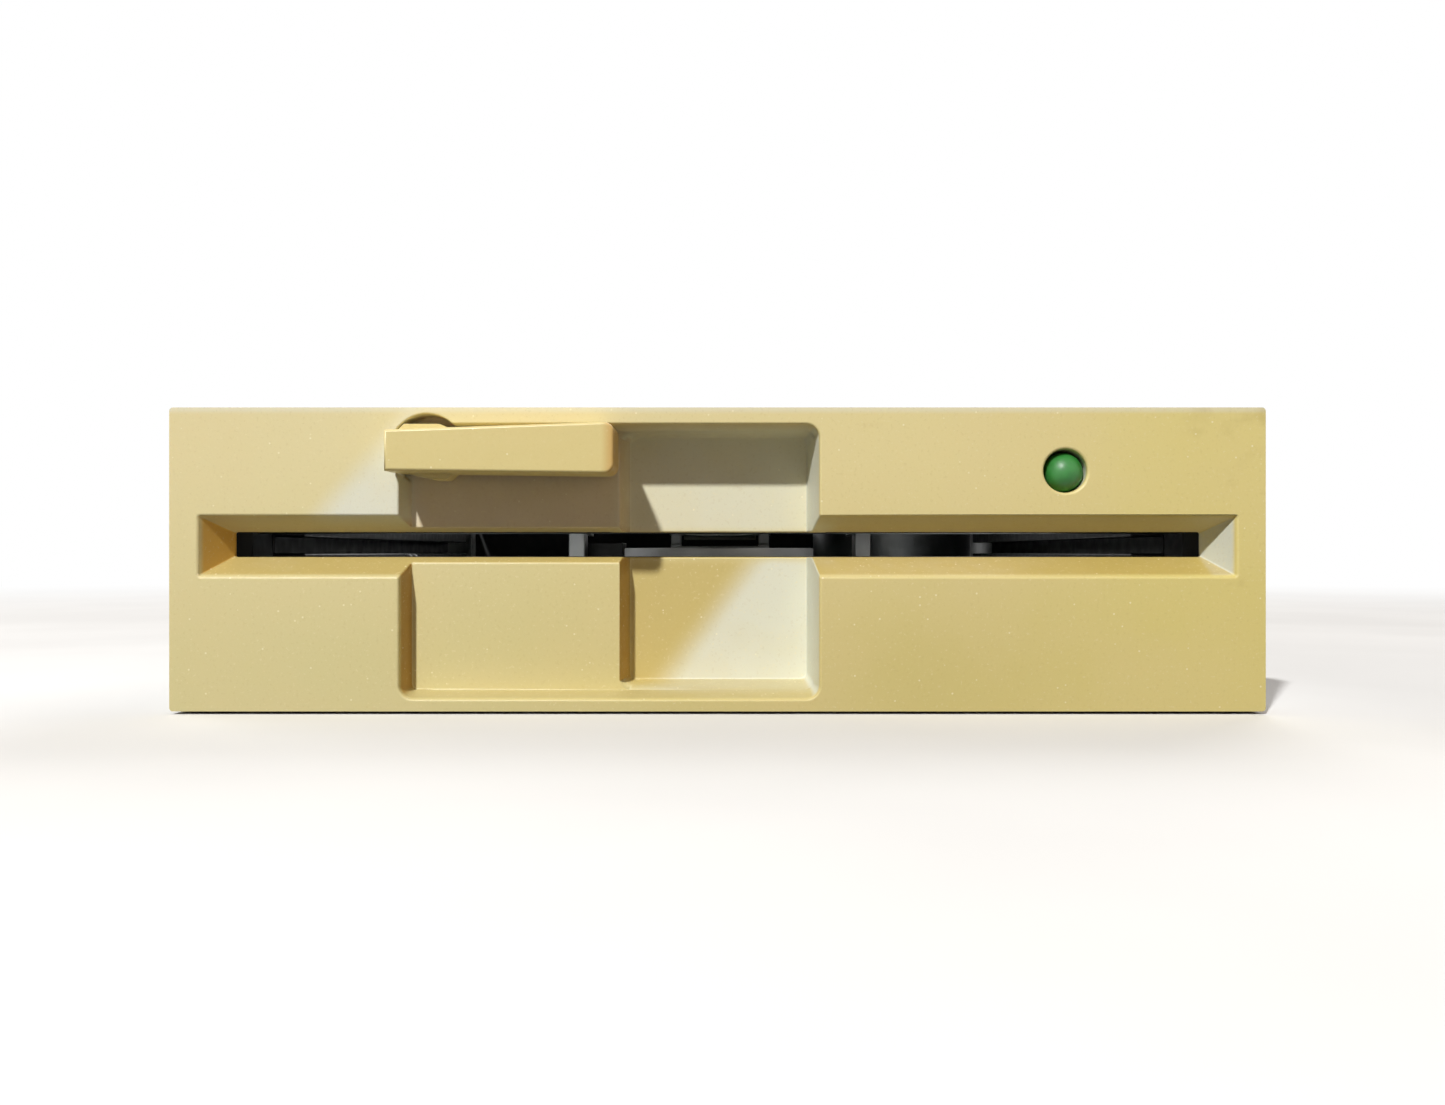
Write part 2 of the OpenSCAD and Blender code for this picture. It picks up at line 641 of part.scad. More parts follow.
// Spindle and its motor
bearing_r = 6.5;
bearing_w = 5;
bearing_gap = 0.4;
housing_z0 = 7.6;
housing_z1 = 18.3;
housing_flange_t = 2;
hub_z0 = 18.6;
hub_z1 = 22.4;
hub_dish_r0 = 11.5;
hub_dish_r1 = 14;
hub_dish_d = 1.8;
hub_floor_z = hub_z1 - hub_dish_d;
hub_neck_r = 7;
hub_neck_z = 19.5;
rotor_z0 = 1.6;
rotor_t = 1.2;
rotor_rim_z = 5.8;
rotor_boss_r = 6.4;
rotor_boss_z = 7.2;
magnet_r0 = 14;
magnet_z1 = 6.4;
coil_z0 = 7.4;
coil_ring_r = 24;
coil_r = 10.4;
coil_hole_r = 3.8;

module at_spindle() translate([0, spindle_y, 0]) children();

module bearing_housing() {
    color("#c9b27a") in_frame() at_spindle() difference() {
        union() {
            post(0, 0, housing_z0, housing_z1, housing_r);
            post(0, 0, deck_top, deck_top + housing_flange_t, housing_flange_r);
        }
        post(0, 0, housing_z0 - overrun, housing_z1 + overrun, bearing_r);
        for (a = [90, 210, 330]) rotate([0, 0, a]) {
            post(housing_screw_r, 0, deck_top - overrun, deck_top + housing_flange_t + overrun, tap_r);
            translate([housing_screw_r, 0, deck_top + housing_flange_t - head_h])
                cylinder(r1 = tap_r, r2 = head_r, h = head_h);
        }
    }
}
module housing_screws() {
    color("silver") in_frame() at_spindle() for (a = [90, 210, 330]) rotate([0, 0, a])
        translate([housing_screw_r, 0, deck_top + housing_flange_t])
            flat_screw(housing_flange_t + deck_t, cap_r = head_r - run_gap);
}
module spindle_bearings() {
    color("#c4c8cc") in_frame() at_spindle()
        for (z = [housing_z0 + fit_gap, housing_z0 + fit_gap + bearing_w + bearing_gap]) difference() {
        post(0, 0, z, z + bearing_w, bearing_r);
        post(0, 0, z - overrun, z + bearing_w + overrun, spindle_r + run_gap);
        for (zz = [z - overrun, z + bearing_w - fit_gap]) difference() {
            post(0, 0, zz, zz + fit_gap + overrun, bearing_r - 1.2);
            post(0, 0, zz - overrun, zz + 2 * overrun, spindle_r + 1.2);
        }
    }
}
module spindle_shaft() {
    color("#dfe2e4") in_frame() at_spindle() post(0, 0, rotor_z0, hub_floor_z, spindle_r);
}
// Turned disc with a rim ring on it, round the dish that centres the disk
module drive_hub() {
    color("#c8cdd0") in_frame() at_spindle() {
        rotate_extrude() polygon([
            [spindle_r, hub_z0], [hub_neck_r, hub_z0], [hub_neck_r, hub_neck_z],
            [hub_r * 0.8, hub_neck_z], [hub_r, hub_floor_z], [spindle_r, hub_floor_z]]);
        rotate_extrude() polygon([
            [hub_dish_r0, hub_floor_z + run_gap], [hub_r, hub_floor_z + run_gap], [hub_r, hub_z1],
            [hub_dish_r1, hub_z1],
            [hub_dish_r0, hub_z1 - hub_dish_d * 0.8]]);
    }
}
module rotor() {
    color("#8f9396") in_frame() at_spindle() rotate_extrude() polygon([
        [spindle_r, rotor_z0], [rotor_r, rotor_z0], [rotor_r, rotor_rim_z], [rotor_r - rotor_t, rotor_rim_z],
        [rotor_r - rotor_t, rotor_z0 + rotor_t], [rotor_boss_r, rotor_z0 + rotor_t],
        [rotor_boss_r, rotor_boss_z], [spindle_r, rotor_boss_z]]);
}
module rotor_magnet() {
    color("#3a3c3e") in_frame() at_spindle() difference() {
        post(0, 0, rotor_z0 + rotor_t, magnet_z1, rotor_r - rotor_t);
        post(0, 0, rotor_z0, magnet_z1 + overrun, magnet_r0);
    }
}
module motor_board() {
    color("#2f6b4a") in_frame() difference() {
        block(-motor_half_w, motor_half_w, motor_y0, motor_y1, motor_z0, motor_z0 + motor_t);
        at_spindle() post(0, 0, motor_z0 - overrun, motor_z0 + motor_t + overrun, housing_r + pass_gap);
        both_sides() for (y = motor_screw_ys)
            post(motor_screw_x, y, motor_z0 - overrun, motor_z0 + motor_t + overrun, tap_r + bore_gap);
        both_sides() translate([motor_half_w, motor_y1, motor_z0 - overrun])
            rotate([0, 0, 45]) translate([-boss_d, -boss_d, 0] / 2)
                cube([boss_d, boss_d, motor_t + 2 * overrun]);
    }
}
module motor_coils() {
    color("#a8562e") in_frame() at_spindle() for (a = [30 : 60 : 330]) rotate([0, 0, a]) difference() {
        post(coil_ring_r, 0, coil_z0, motor_z0, coil_r);
        post(coil_ring_r, 0, coil_z0 - overrun, motor_z0 + overrun, coil_hole_r);
    }
}
module motor_screws() {
    color("silver") in_frame() both_sides() for (y = motor_screw_ys) translate([motor_screw_x, y, motor_z0])
        mirror([0, 0, 1]) pan_screw(motor_t + deck_t);
}

// Guide rods, carriage and heads
clamp_plate_t = 1.2;
clamp_plate_over = 3.2;
small_screw_r = 1 - run_gap;
bush_wall = 0.8;
tube_wall = 1;
tube_l = 12;
base_t = 3;
carriage_x = rod_x + rod_r + bush_wall + tube_wall;
base_z0 = rod_z - rod_r - bush_wall - tube_wall;
base_z1 = base_z0 + base_t;
pedestal_z = 19.4;
pedestal_x = 7;
pedestal_half_l = 6.6;
pedestal_y0 = head_y - pedestal_half_l;
pedestal_y1 = head_y + pedestal_half_l;
rear_block_x = 13;
rear_block_l = 9;
rear_block_y0 = carriage_y1 - rear_block_l;
rear_block_z = 23.8;
arm_axis_y = carriage_y1 - rear_block_l / 2;
arm_axis_z = 27.2;
arm_ear_t = 2.6;
arm_ear_r = 2.4;
arm_pin_r = 1.2;
band_t = 0.1;
band_z0 = 6;
band_z1 = 10;
band_x1 = stepper_x - capstan_r - 2 * band_t;
band_x0 = band_x1 - band_t;
bar_t = 4.3;
bar_x0 = band_x0 - bar_t;
bar_gap = 0.7;
band_lead = 12;
band_front_y = stepper_y - band_lead;
band_rear_y = body_d - pass_gap;
pad_l = 5;
bracket_leg_x = 18.5;
bracket_l = 10;
bracket_y1 = band_front_y + bracket_l;
bracket_z0 = band_z0 - bar_gap;
bracket_z1 = band_z1 + bar_gap;
flag_x1 = 28.6;
flag_z0 = 18.6;
flag_t = 0.8;
flag_y0 = 152;
flag_l = 5;

module guide_rods() {
    color("#d5d8da") in_frame() for (x = [-rod_x, rod_x])
        bar_y(x, rod_z, saddle_y0 + pass_gap, saddle_y1 + saddle_t - pass_gap, rod_r);
}
module rod_clamps() {
    color("#a9adb0") in_frame() both_sides() for (y = [saddle_y0, saddle_y1]) difference() {
        block(saddle_x0, rod_x + clamp_plate_over, y + fit_gap, y + saddle_t - fit_gap, rod_z + rod_r,
            rod_z + rod_r + clamp_plate_t);
        post(clamp_screw_x, y + saddle_t / 2, rod_z, rod_z + rod_r + clamp_plate_t + overrun, 1 + fit_gap);
    }
}
module rod_clamp_screws() {
    color("silver") in_frame() both_sides() for (y = [saddle_y0, saddle_y1])
        translate([clamp_screw_x, y + saddle_t / 2, rod_z + rod_r + clamp_plate_t])
            pan_screw(rod_r + clamp_plate_t + 1, small_screw_r, 1.7, 1.1);
}
module carriage() {
    color("#cfd0cc") in_frame() {
        difference() {
            union() {
                block(-rod_x, rod_x, carriage_y0, carriage_y1, base_z0, base_z1);
                both_sides() for (y = [carriage_y0, carriage_y1 - tube_l])
                    bar_y(rod_x, rod_z, y, y + tube_l, rod_r + bush_wall + tube_wall);
                block(-pedestal_x, pedestal_x, pedestal_y0, pedestal_y1, base_z0, pedestal_z);
                block(-rear_block_x, rear_block_x, rear_block_y0, carriage_y1, base_z0, rear_block_z);
                both_sides() {
                    block(rear_block_x - arm_ear_t, rear_block_x, arm_axis_y - arm_ear_r,
                        arm_axis_y + arm_ear_r, base_z0, arm_axis_z);
                    bar_x(arm_axis_y, arm_axis_z, rear_block_x - arm_ear_t, rear_block_x, arm_ear_r);
                }
                // arm that reaches the steel band under the deck
                block(bracket_leg_x, window_x - pass_gap, band_front_y, bracket_y1, bracket_z0, base_z1);
                block(bracket_leg_x - base_t, window_x - pass_gap, band_front_y + tube_l / 2, bracket_y1,
                    base_z0, base_z1);
                block(bracket_leg_x, band_x0 - bar_gap, band_front_y, bracket_y1, bracket_z0,
                    bracket_z0 + base_t);
                block(bar_x0, band_x0 - bar_gap, band_front_y, band_rear_y, bracket_z0, bracket_z1);
                for (y = [band_front_y, band_rear_y - pad_l])
                    block(bar_x0, band_x0, y, y + pad_l, bracket_z0, bracket_z1);
                // flag of the track zero sensor
                block(-flag_x1, -rod_x, flag_y0, flag_y0 + flag_l, flag_z0, flag_z0 + flag_t);
                block(-rod_x - rod_r, -rod_x + rod_r, flag_y0 + 1, carriage_y1 - tube_l / 2,
                    flag_z0 + rod_r / 4, rod_z + rod_r + bush_wall + tube_wall);
            }
            for (x = [-rod_x, rod_x])
                bar_y(x, rod_z, carriage_y0 - overrun, carriage_y1 + overrun, rod_r + bush_wall);
            bar_x(arm_axis_y, arm_axis_z, -rear_block_x - overrun, rear_block_x + overrun, arm_pin_r);
            block(-rear_block_x + arm_ear_t, rear_block_x - arm_ear_t, rear_block_y0 - overrun,
                carriage_y1 + overrun,
                rear_block_z - overrun / 2, arm_axis_z + arm_ear_r + overrun);
        }
    }
}
module carriage_bushes() {
    color("#b98d45") in_frame() for (x = [-rod_x, rod_x], y = [carriage_y0, carriage_y1 - tube_l])
        difference() {
        bar_y(x, rod_z, y + fit_gap, y + tube_l - fit_gap, rod_r + bush_wall);
        bar_y(x, rod_z, y, y + tube_l, rod_r + run_gap);
    }
}
head_half = 3;
head_gap = 0.1;
gimbal_t = 0.4;
gimbal_half = 5.5;
module lower_head() {
    color("#4a4642") in_frame() {
        block(-gimbal_half, gimbal_half, head_y - gimbal_half, head_y + gimbal_half, pedestal_z,
            pedestal_z + gimbal_t);
        block(-head_half, head_half, head_y - head_half, head_y + head_half, pedestal_z + gimbal_t,
            disk_z - head_gap - gimbal_t);
        post(0, head_y, disk_z - head_gap - gimbal_t - fit_gap, disk_z - head_gap, head_half * 0.8);
    }
}
module drive_band() {
    color("#d8dadb") in_frame() {
        block(band_x0, band_x1, band_front_y, band_rear_y, band_z0, band_z1);
        for (y = [band_front_y + pad_l / 2, band_rear_y - pad_l / 2])
            translate([band_x1, y, (band_z0 + band_z1) / 2])
            rotate([0, 90, 0]) cylinder(r = 1.6, h = overrun);
    }
}
module arm_pin() {
    color("silver") in_frame()
        bar_x(arm_axis_y, arm_axis_z, -rear_block_x - overrun / 2, rear_block_x + overrun / 2,
            arm_pin_r - run_gap / 2);
}

// Upper head arm, drawn level and then raised as it stands with the lever open
head_lift = 5;
head_arm_x = 8.6;
head_arm_t = 1.6;
head_arm_lead = 5;
head_arm_y0 = head_y - head_arm_lead;
head_arm_z0 = arm_axis_z - head_arm_t / 2;
module raised_head() translate([0, arm_axis_y, arm_axis_z]) rotate([-head_lift, 0, 0])
    translate([0, -arm_axis_y, -arm_axis_z]) children();
module head_arm() {
    color("#b4b8bb") in_frame() raised_head() difference() {
        union() {
            translate([0, 0, head_arm_z0]) linear_extrude(head_arm_t) polygon([
                [-head_arm_x / 1.6, head_arm_y0], [head_arm_x / 1.6, head_arm_y0],
                    [head_arm_x, head_y + gimbal_half * 2],
                [head_arm_x, arm_axis_y], [-head_arm_x, arm_axis_y],
                    [-head_arm_x, head_y + gimbal_half * 2]]);
            bar_x(arm_axis_y, arm_axis_z, -head_arm_x - overrun, head_arm_x + overrun, arm_ear_r - fit_gap);
        }
        bar_x(arm_axis_y, arm_axis_z, -rear_block_x, rear_block_x, arm_pin_r + run_gap);
    }
}
module upper_head() {
    color("#4a4642") in_frame() raised_head() {
        block(-gimbal_half + overrun, gimbal_half - overrun, head_y - gimbal_half + overrun,
            head_y + gimbal_half - overrun,
            head_arm_z0 - gimbal_t * 2, head_arm_z0);
        block(-head_half, head_half, head_y - head_half, head_y + head_half, disk_z + head_gap + gimbal_t,
            head_arm_z0 - gimbal_t * 2);
        post(0, head_y, disk_z + head_gap, disk_z + head_gap + gimbal_t, head_half * 0.8);
    }
}

// Stepper motor
stepper_top = 33;
stepper_flange_t = 1.6;
ear_r = 4.2;
stepper_shaft_r = 2.5;
capstan_z0 = 4.4;
capstan_z1 = 11.6;
module at_stepper() translate([stepper_x, stepper_y, 0]) children();
module stepper_body() {
    color("#8d9194") in_frame() at_stepper() difference() {
        union() {
            post(0, 0, deck_top, stepper_top, stepper_r);
            post(0, 0, deck_z + fit_gap, deck_top, pilot_r - fit_gap);
            for (s = [-1, 1]) post(0, s * stepper_ear, deck_top, deck_top + stepper_flange_t, ear_r);
            block(-ear_r, ear_r, -stepper_ear, stepper_ear, deck_top, deck_top + stepper_flange_t);
        }
        post(0, 0, deck_z - overrun, stepper_top - 2 * overrun, stepper_shaft_r + run_gap);
        for (s = [-1, 1]) post(0, s * stepper_ear, deck_top - overrun, stepper_top, tap_r + bore_gap);
    }
}
module stepper_screws() {
    color("silver") in_frame() at_stepper() for (s = [-1, 1])
        translate([0, s * stepper_ear, deck_top + stepper_flange_t])
            pan_screw(stepper_flange_t + deck_t, cap_r = head_r - fit_gap * 2);
}
module stepper_shaft() {
    color("#dfe2e4") in_frame() at_stepper()
        post(0, 0, capstan_z0 - overrun, stepper_top - 3 * overrun, stepper_shaft_r);
}
module capstan() {
    color("#c9ccce") in_frame() at_stepper() difference() {
        union() {
            post(0, 0, capstan_z0, capstan_z1, capstan_r);
            difference() {
                post(0, 0, band_z0, band_z1, capstan_r + band_t);
                block(0, capstan_r * 2, -band_z0 / 2, band_z0 / 2, band_z0 - overrun, band_z1 + overrun);
            }
        }
        post(0, 0, capstan_z0 - overrun, capstan_z1 + overrun, stepper_shaft_r);
    }
}

// Sensors
zero_x0 = 24.6;
zero_x1 = 34;
zero_spine = 3.8;
zero_lead = 3;
zero_l = 12;
zero_y0 = flag_y0 - zero_lead;
zero_y1 = zero_y0 + zero_l;
zero_z1 = 24;
zero_gap_z0 = 17.6;
zero_gap_z1 = 20.4;
module track_zero_sensor() {
    color("#1e2022") in_frame() difference() {
        block(-zero_x1, -zero_x0, zero_y0, zero_y1, deck_top, zero_z1);
        block(-zero_x1 + zero_spine, -zero_x0 + overrun, zero_y0 - overrun, zero_y1 + overrun, zero_gap_z0,
            zero_gap_z1);
    }
}
index_top = 19;
index_half = 3;
module index_sensor() {
    color("#1e2022") in_frame() translate([index_r * cos(index_a), spindle_y + index_r * sin(index_a), 0]) {
        block(-index_half, index_half, -index_half, index_half, deck_top, index_top);
        translate([0, 0, index_top]) sphere(index_hole_r * 0.7);
        post(0, 0, deck_z - fit_gap, deck_top, index_hole_r - fit_gap);
    }
}
protect_l = 6.4;
protect_wall_gap = 9.025;
protect_x0 = wall_in - protect_wall_gap - protect_l;
protect_lens_in = 3;
protect_lens_r = 0.9;
protect_y0 = 62;
protect_y1 = 72;
protect_top = 20.4;
module write_protect_sensor() {
    color("#1e2022") in_frame() {
        block(-protect_x0 - protect_l, -protect_x0, protect_y0, protect_y1, deck_top, protect_top);
        for (y = [protect_y0 + protect_lens_in, protect_y1 - protect_lens_in])
            translate([-protect_x0 - protect_l / 2, y, protect_top]) sphere(protect_lens_r);
    }
}

// Lever and clamp
hub_seat_gap = 0.3;
lever_gap = 0.35;
lever_back = 2.6;
back_step = 0.5;
lever_tail = 4.4;
tail_z0 = 3;
tail_z1 = 2.4;
tip_z0 = 3.35;
tip_z1 = 3.4;
lever_tip_r = 1.3;
lever_hub_r = lever_seat_r - hub_seat_gap;
hub_flat_up = 3.65;
hub_flat_down = 3.9;
hub_flat_half = 1.8;
hub_slope = 1.3;
shaft_y0 = -2.5;
shaft_over = 2;
shaft_y1 = flange_rear_y + sheet_t + bush_over + shaft_over;
ring_in = 0.6;
ring_t = 0.8;
module lever_outline() {
    polygon([[-lever_tail, -tail_z0], [lever_reach - lever_tip_r, -tip_z0],
        [lever_reach, -tip_z0 + lever_tip_r],
        [lever_reach, tip_z1 - lever_tip_r], [lever_reach - lever_tip_r, tip_z1], [-lever_tail, tail_z1]]);
    for (z = [-tip_z0 + lever_tip_r, tip_z1 - lever_tip_r]) translate([lever_reach - lever_tip_r, z])
        circle(lever_tip_r);
}
// Round hub with a flat on top and one below, each sloping away at one end
module hub_outline() intersection() {
    circle(lever_hub_r);
    polygon([[-lever_hub_r, hub_flat_up], [hub_flat_half, hub_flat_up], [lever_hub_r, hub_flat_up - hub_slope],
        [lever_hub_r, -hub_flat_down], [hub_flat_half / 2, -hub_flat_down],
        [-lever_hub_r, -hub_flat_down + hub_slope]]);
}
module lever() {
    color("#d9c67c") in_frame() translate([-lever_axis_x, 0, lever_axis_z]) difference() {
        union() {
            slab_y(-lever_proud, -lever_gap) lever_outline();
            slab_y(-lever_gap, lever_back) intersection() {
                lever_outline();
                union() {
                    circle(lever_hub_r);
                    translate([0, -lever_hub_r]) square([lever_reach, lever_hub_r + tip_z1 - back_step]);
                }
            }
            slab_y(-lever_gap, recess_d - fit_gap) hub_outline();
        }
        bar_y(0, 0, shaft_y0, recess_d + overrun, lever_shaft_r);
    }
}
module lever_shaft() {
    color("#cfd2d4") in_frame() bar_y(-lever_axis_x, lever_axis_z, shaft_y0, shaft_y1, lever_shaft_r);
}
// Cam whose height over its flat follower grows evenly with the lever's turn
cam_steps = 30;
cam_slope = cam_rise / (PI / 2);
module lever_cam() {
    color("#ece9df") in_frame() translate([-lever_axis_x, 0, lever_axis_z]) difference() {
        union() {
            slab_y(cam_y0, cam_y1) polygon(concat([[0, 0]], [for (i = [0 : cam_steps])
                let(a = -90 + 90 * i / cam_steps, h = cam_low + cam_rise * i / cam_steps)
                [h * cos(a) - cam_slope * sin(a), h * sin(a) + cam_slope * cos(a)]]));
            bar_y(0, 0, cam_y0 - 2 * overrun, cam_y1 + overrun, cam_low);
        }
        bar_y(0, 0, cam_y0 - 3 * overrun, cam_y1 + 2 * overrun, lever_shaft_r);
    }
}
module shaft_ring() {
    color("#3b3d3f") in_frame() difference() {
        bar_y(-lever_axis_x, lever_axis_z, shaft_y1 - ring_in - ring_t, shaft_y1 - ring_in, bush_r);
        bar_y(-lever_axis_x, lever_axis_z, 0, shaft_y1 + overrun, lever_shaft_r);
        block(-lever_axis_x - lever_shaft_r / 2, -lever_axis_x + lever_shaft_r / 2, 0, shaft_y1, 0,
            lever_axis_z);
    }
}

// Clamp arm, drawn as it stands with the lever closed and then raised
arm_z0 = 28.5;
arm_z1 = arm_z0 + sheet_t;
arm_front_y = cam_y0 - 1;
arm_front_x = 27;
arm_wide_y = 58;
leg_y0 = 97.5;
leg_x0 = 24.5;
cam_gap = 0.35;
tab_top = lever_axis_z - cam_reach - cam_gap;
tab_x = 44;
flange_h = 3;
clamp_pin_head_r = 2.8;
module raised_arm() translate([0, hinge_y, hinge_z]) rotate([-swing, 0, 0])
    translate([0, -hinge_y, -hinge_z]) children();
module clamp_arm() {
    color("#a3a7aa") in_frame() raised_arm() difference() {
        union() {
            block(-arm_front_x, arm_front_x, arm_front_y, arm_wide_y, arm_z0, arm_z1);
            block(-arm_half_w, arm_half_w, arm_wide_y, leg_y0, arm_z0, arm_z1);
            both_sides() {
                block(leg_x0, arm_half_w, leg_y0, hinge_y - clamp_pin_head_r - pass_gap, arm_z0, arm_z1);
                block(arm_half_w - sheet_t, arm_half_w, arm_wide_y, hinge_y, arm_z0 - flange_h, arm_z1);
                bar_x(hinge_y, hinge_z, arm_half_w - sheet_t, arm_half_w, hinge_r);
            }
            // tab under the lever's cam
            block(-tab_x, -arm_front_x + sheet_t, arm_front_y, cam_y1 + 2 * overrun, tab_top - sheet_t,
                tab_top);
            block(-arm_front_x, -arm_front_x + sheet_t, arm_front_y, cam_y1 + 2 * overrun,
                tab_top - sheet_t, arm_z1);
        }
        both_sides() bar_x(hinge_y, hinge_z, arm_half_w - 2 * sheet_t, arm_half_w + overrun,
            hinge_pin_r + run_gap);
        at_spindle() post(0, 0, arm_z0 - overrun, arm_z1 + overrun, post_r);
        both_sides() block(arm_front_x / 3, arm_front_x * 0.8, arm_front_y + 6, spindle_y - hub_r,
            arm_z0 - overrun, arm_z1 + overrun);
    }
}
module clamp_pins() {
    color("silver") in_frame() both_sides() {
        bar_x(hinge_y, hinge_z, arm_half_w - sheet_t - fit_gap, hinge_post_x0 + hinge_post_t, hinge_pin_r);
        bar_x(hinge_y, hinge_z, arm_half_w - 2 * sheet_t - fit_gap, arm_half_w - sheet_t - fit_gap,
            clamp_pin_head_r);
    }
}
post_r = 2.45;
cone_z0 = 20.95;
cone_r0 = 9.8;
cone_r1 = 12.3;
cone_z1 = cone_z0 + hub_dish_d * 0.75;
press_z = hub_z1 + 0.5;
press_t = 1.4;
press_r = 16.8;
clamp_boss_r = 6;
clamp_cup_r = 5;
washer_r = 4.2;
washer_t = 0.8;
module clamp_post() {
    color("silver") in_frame() raised_arm() at_spindle() {
        post(0, 0, cone_z0 + fit_gap, arm_z1, post_r);
        post(0, 0, cone_z0 + fit_gap, cone_z0 + fit_gap + washer_t, washer_r);
        post(0, 0, arm_z1, arm_z1 + washer_t, washer_r);
    }
}
module clamp_hub() {
    color("#e9e6da") in_frame() raised_arm() at_spindle() difference() {
        union() {
            rotate_extrude() polygon([
                [clamp_cup_r, cone_z0], [cone_r0, cone_z0], [cone_r1, cone_z1], [cone_r1, press_z - run_gap],
                [clamp_cup_r, press_z - run_gap]]);
            rotate_extrude() polygon([
                [clamp_cup_r, press_z], [press_r, press_z], [press_r, press_z + press_t],
                [clamp_boss_r, press_z + press_t + overrun], [clamp_boss_r, arm_z0 - pass_gap],
                [post_r + run_gap, arm_z0 - pass_gap], [post_r + run_gap, cone_z0 + 3 * washer_t],
                [clamp_cup_r, cone_z0 + 3 * washer_t]]);
        }
        for (a = [0 : 45 : 315]) rotate([0, 0, a])
            block(cone_r0 - overrun, cone_r1 + overrun, -fit_gap, fit_gap, cone_z0 - overrun, press_z);
    }
}

// Main board and what it carries
board_edge_gap = 0.425;
board_half_w = wall_in - board_edge_gap;
board_z1 = rear_wall_h + board_t;
tongue_x = 10;
tongue_out = 3;
tongue_y = body_d + tongue_out;
key_w = 0.9;
contact_pitch = 2.54;
contact_w = 1.5;
contact_l = 9.5;
contact_t = 0.05;
contacts = 17;
key_x = tongue_x - contact_pitch * 6.5;
module main_board() {
    color("#2c6a3c") in_frame() difference() {
        union() {
            block(-board_half_w, board_half_w, board_y0, board_y1, rear_wall_h, board_z1);
            block(tongue_x - tongue_w / 2, tongue_x + tongue_w / 2, board_y1 - overrun, tongue_y,
                rear_wall_h, board_z1);
        }
        both_sides() for (y = [board_front_y, board_rear_y])
            post(board_screw_x, y, rear_wall_h - overrun, board_z1 + overrun, tap_r + bore_gap);
        block(key_x - key_w / 2, key_x + key_w / 2, tongue_y - contact_l, tongue_y + overrun,
            rear_wall_h - overrun, board_z1 + overrun);
    }
}
module board_screws() {
    color("silver") in_frame() both_sides() for (y = [board_front_y, board_rear_y])
        translate([board_screw_x, y, board_z1]) pan_screw(boss_d * 0.6);
}
module edge_contacts() {
    color("#c9a548") in_frame() for (i = [0 : contacts - 1], z = [rear_wall_h - contact_t, board_z1])
        translate([tongue_x + contact_pitch * (i - (contacts - 1) / 2), 0, z])
            block(-contact_w / 2, contact_w / 2, tongue_y - contact_l, tongue_y - overrun / 2, 0, contact_t);
}

// Chips: place across and along the board, length and width
chip_h = 3.4;
chip_lift = 0.6;
chips = [
    [-44, 118, 52, 13.8], [14, 118, 36, 13.8], [-44, 141, 19.6, 6.4], [-18, 141, 19.6, 6.4],
    [8, 141, 19.6, 6.4], [-44, 157, 19.6, 6.4], [-18, 157, 19.6, 6.4], [8, 157, 22, 6.4],
        [-44, 172, 19.6, 6.4]];
driver = [-44, 36, 20, 7];
driver_h = 3;
module integrated_circuits() {
    color("#1b1c1e") in_frame() {
        for (c = chips) difference() {
            block(c[0], c[0] + c[2], c[1], c[1] + c[3], board_z1, board_z1 + chip_lift + chip_h);
            post(c[0], c[1] + c[3] / 2, board_z1 + chip_lift + chip_h * 0.7,
                board_z1 + chip_lift + chip_h + overrun, 1);
            block(c[0] - overrun, c[0] + c[2] + overrun, c[1] - overrun, c[1] + overrun / 2,
                board_z1 - overrun, board_z1 + chip_lift);
            block(c[0] - overrun, c[0] + c[2] + overrun, c[1] + c[3] - overrun / 2, c[1] + c[3] + overrun,
                board_z1 - overrun, board_z1 + chip_lift);
        }
        block(driver[0], driver[0] + driver[2], driver[1] + seat_w, driver[1] + seat_w + driver[3],
            motor_z0 - driver_h, motor_z0);
    }
}
cap_r = 2.4;
cap_l = 11;
caps = [[40, 141], [40, 148], [40, 155], [-64, 141], [-64, 156], [57, 170]];
module capacitors() {
    color("#26406e") in_frame() for (c = caps) difference() {
        bar_y(c[0], board_z1 + cap_r, c[1], c[1] + (c[0] > 0 ? contact_l / 2 : cap_l), cap_r);
        bar_y(c[0], board_z1 + cap_r, c[1] - overrun, c[1] + fit_gap, cap_r * 0.6);
    }
}
sip = [30, 172, 20, 2.4];
sip_h = 5;
module resistor_pack() {
    color("#8a2f22") in_frame()
        block(sip[0], sip[0] + sip[2], sip[1], sip[1] + sip[3], board_z1, board_z1 + sip_h);
}
jumper_n = 7;
jumper_x = -12;
jumper_y = 182;
jumper_h = 2.5;
jumper_pin = 0.64;
jumper_top = 5.4;
module jumper_header() {
    color("#202224") in_frame() {
        block(jumper_x, jumper_x + jumper_n * contact_pitch, jumper_y, jumper_y + 2 * contact_pitch,
            board_z1, board_z1 + jumper_h);
        for (i = [0 : jumper_n - 1], j = [0, 1])
            translate([jumper_x + (i + 0.5) * contact_pitch, jumper_y + (j + 0.5) * contact_pitch, 0])
                block(-jumper_pin / 2, jumper_pin / 2, -jumper_pin / 2, jumper_pin / 2, board_z1 + overrun,
                    board_z1 + jumper_top);
    }
}
power_side_gap = 19.925;
power_x = -wall_in + power_side_gap;
power_w = 21;
power_h = 10;
power_l = 12.5;
power_out = 1.5;
power_y1 = body_d + power_out;
power_wall = 1.2;
power_pitch = 5.08;
power_pin_r = 1.05;
power_floor = 3;
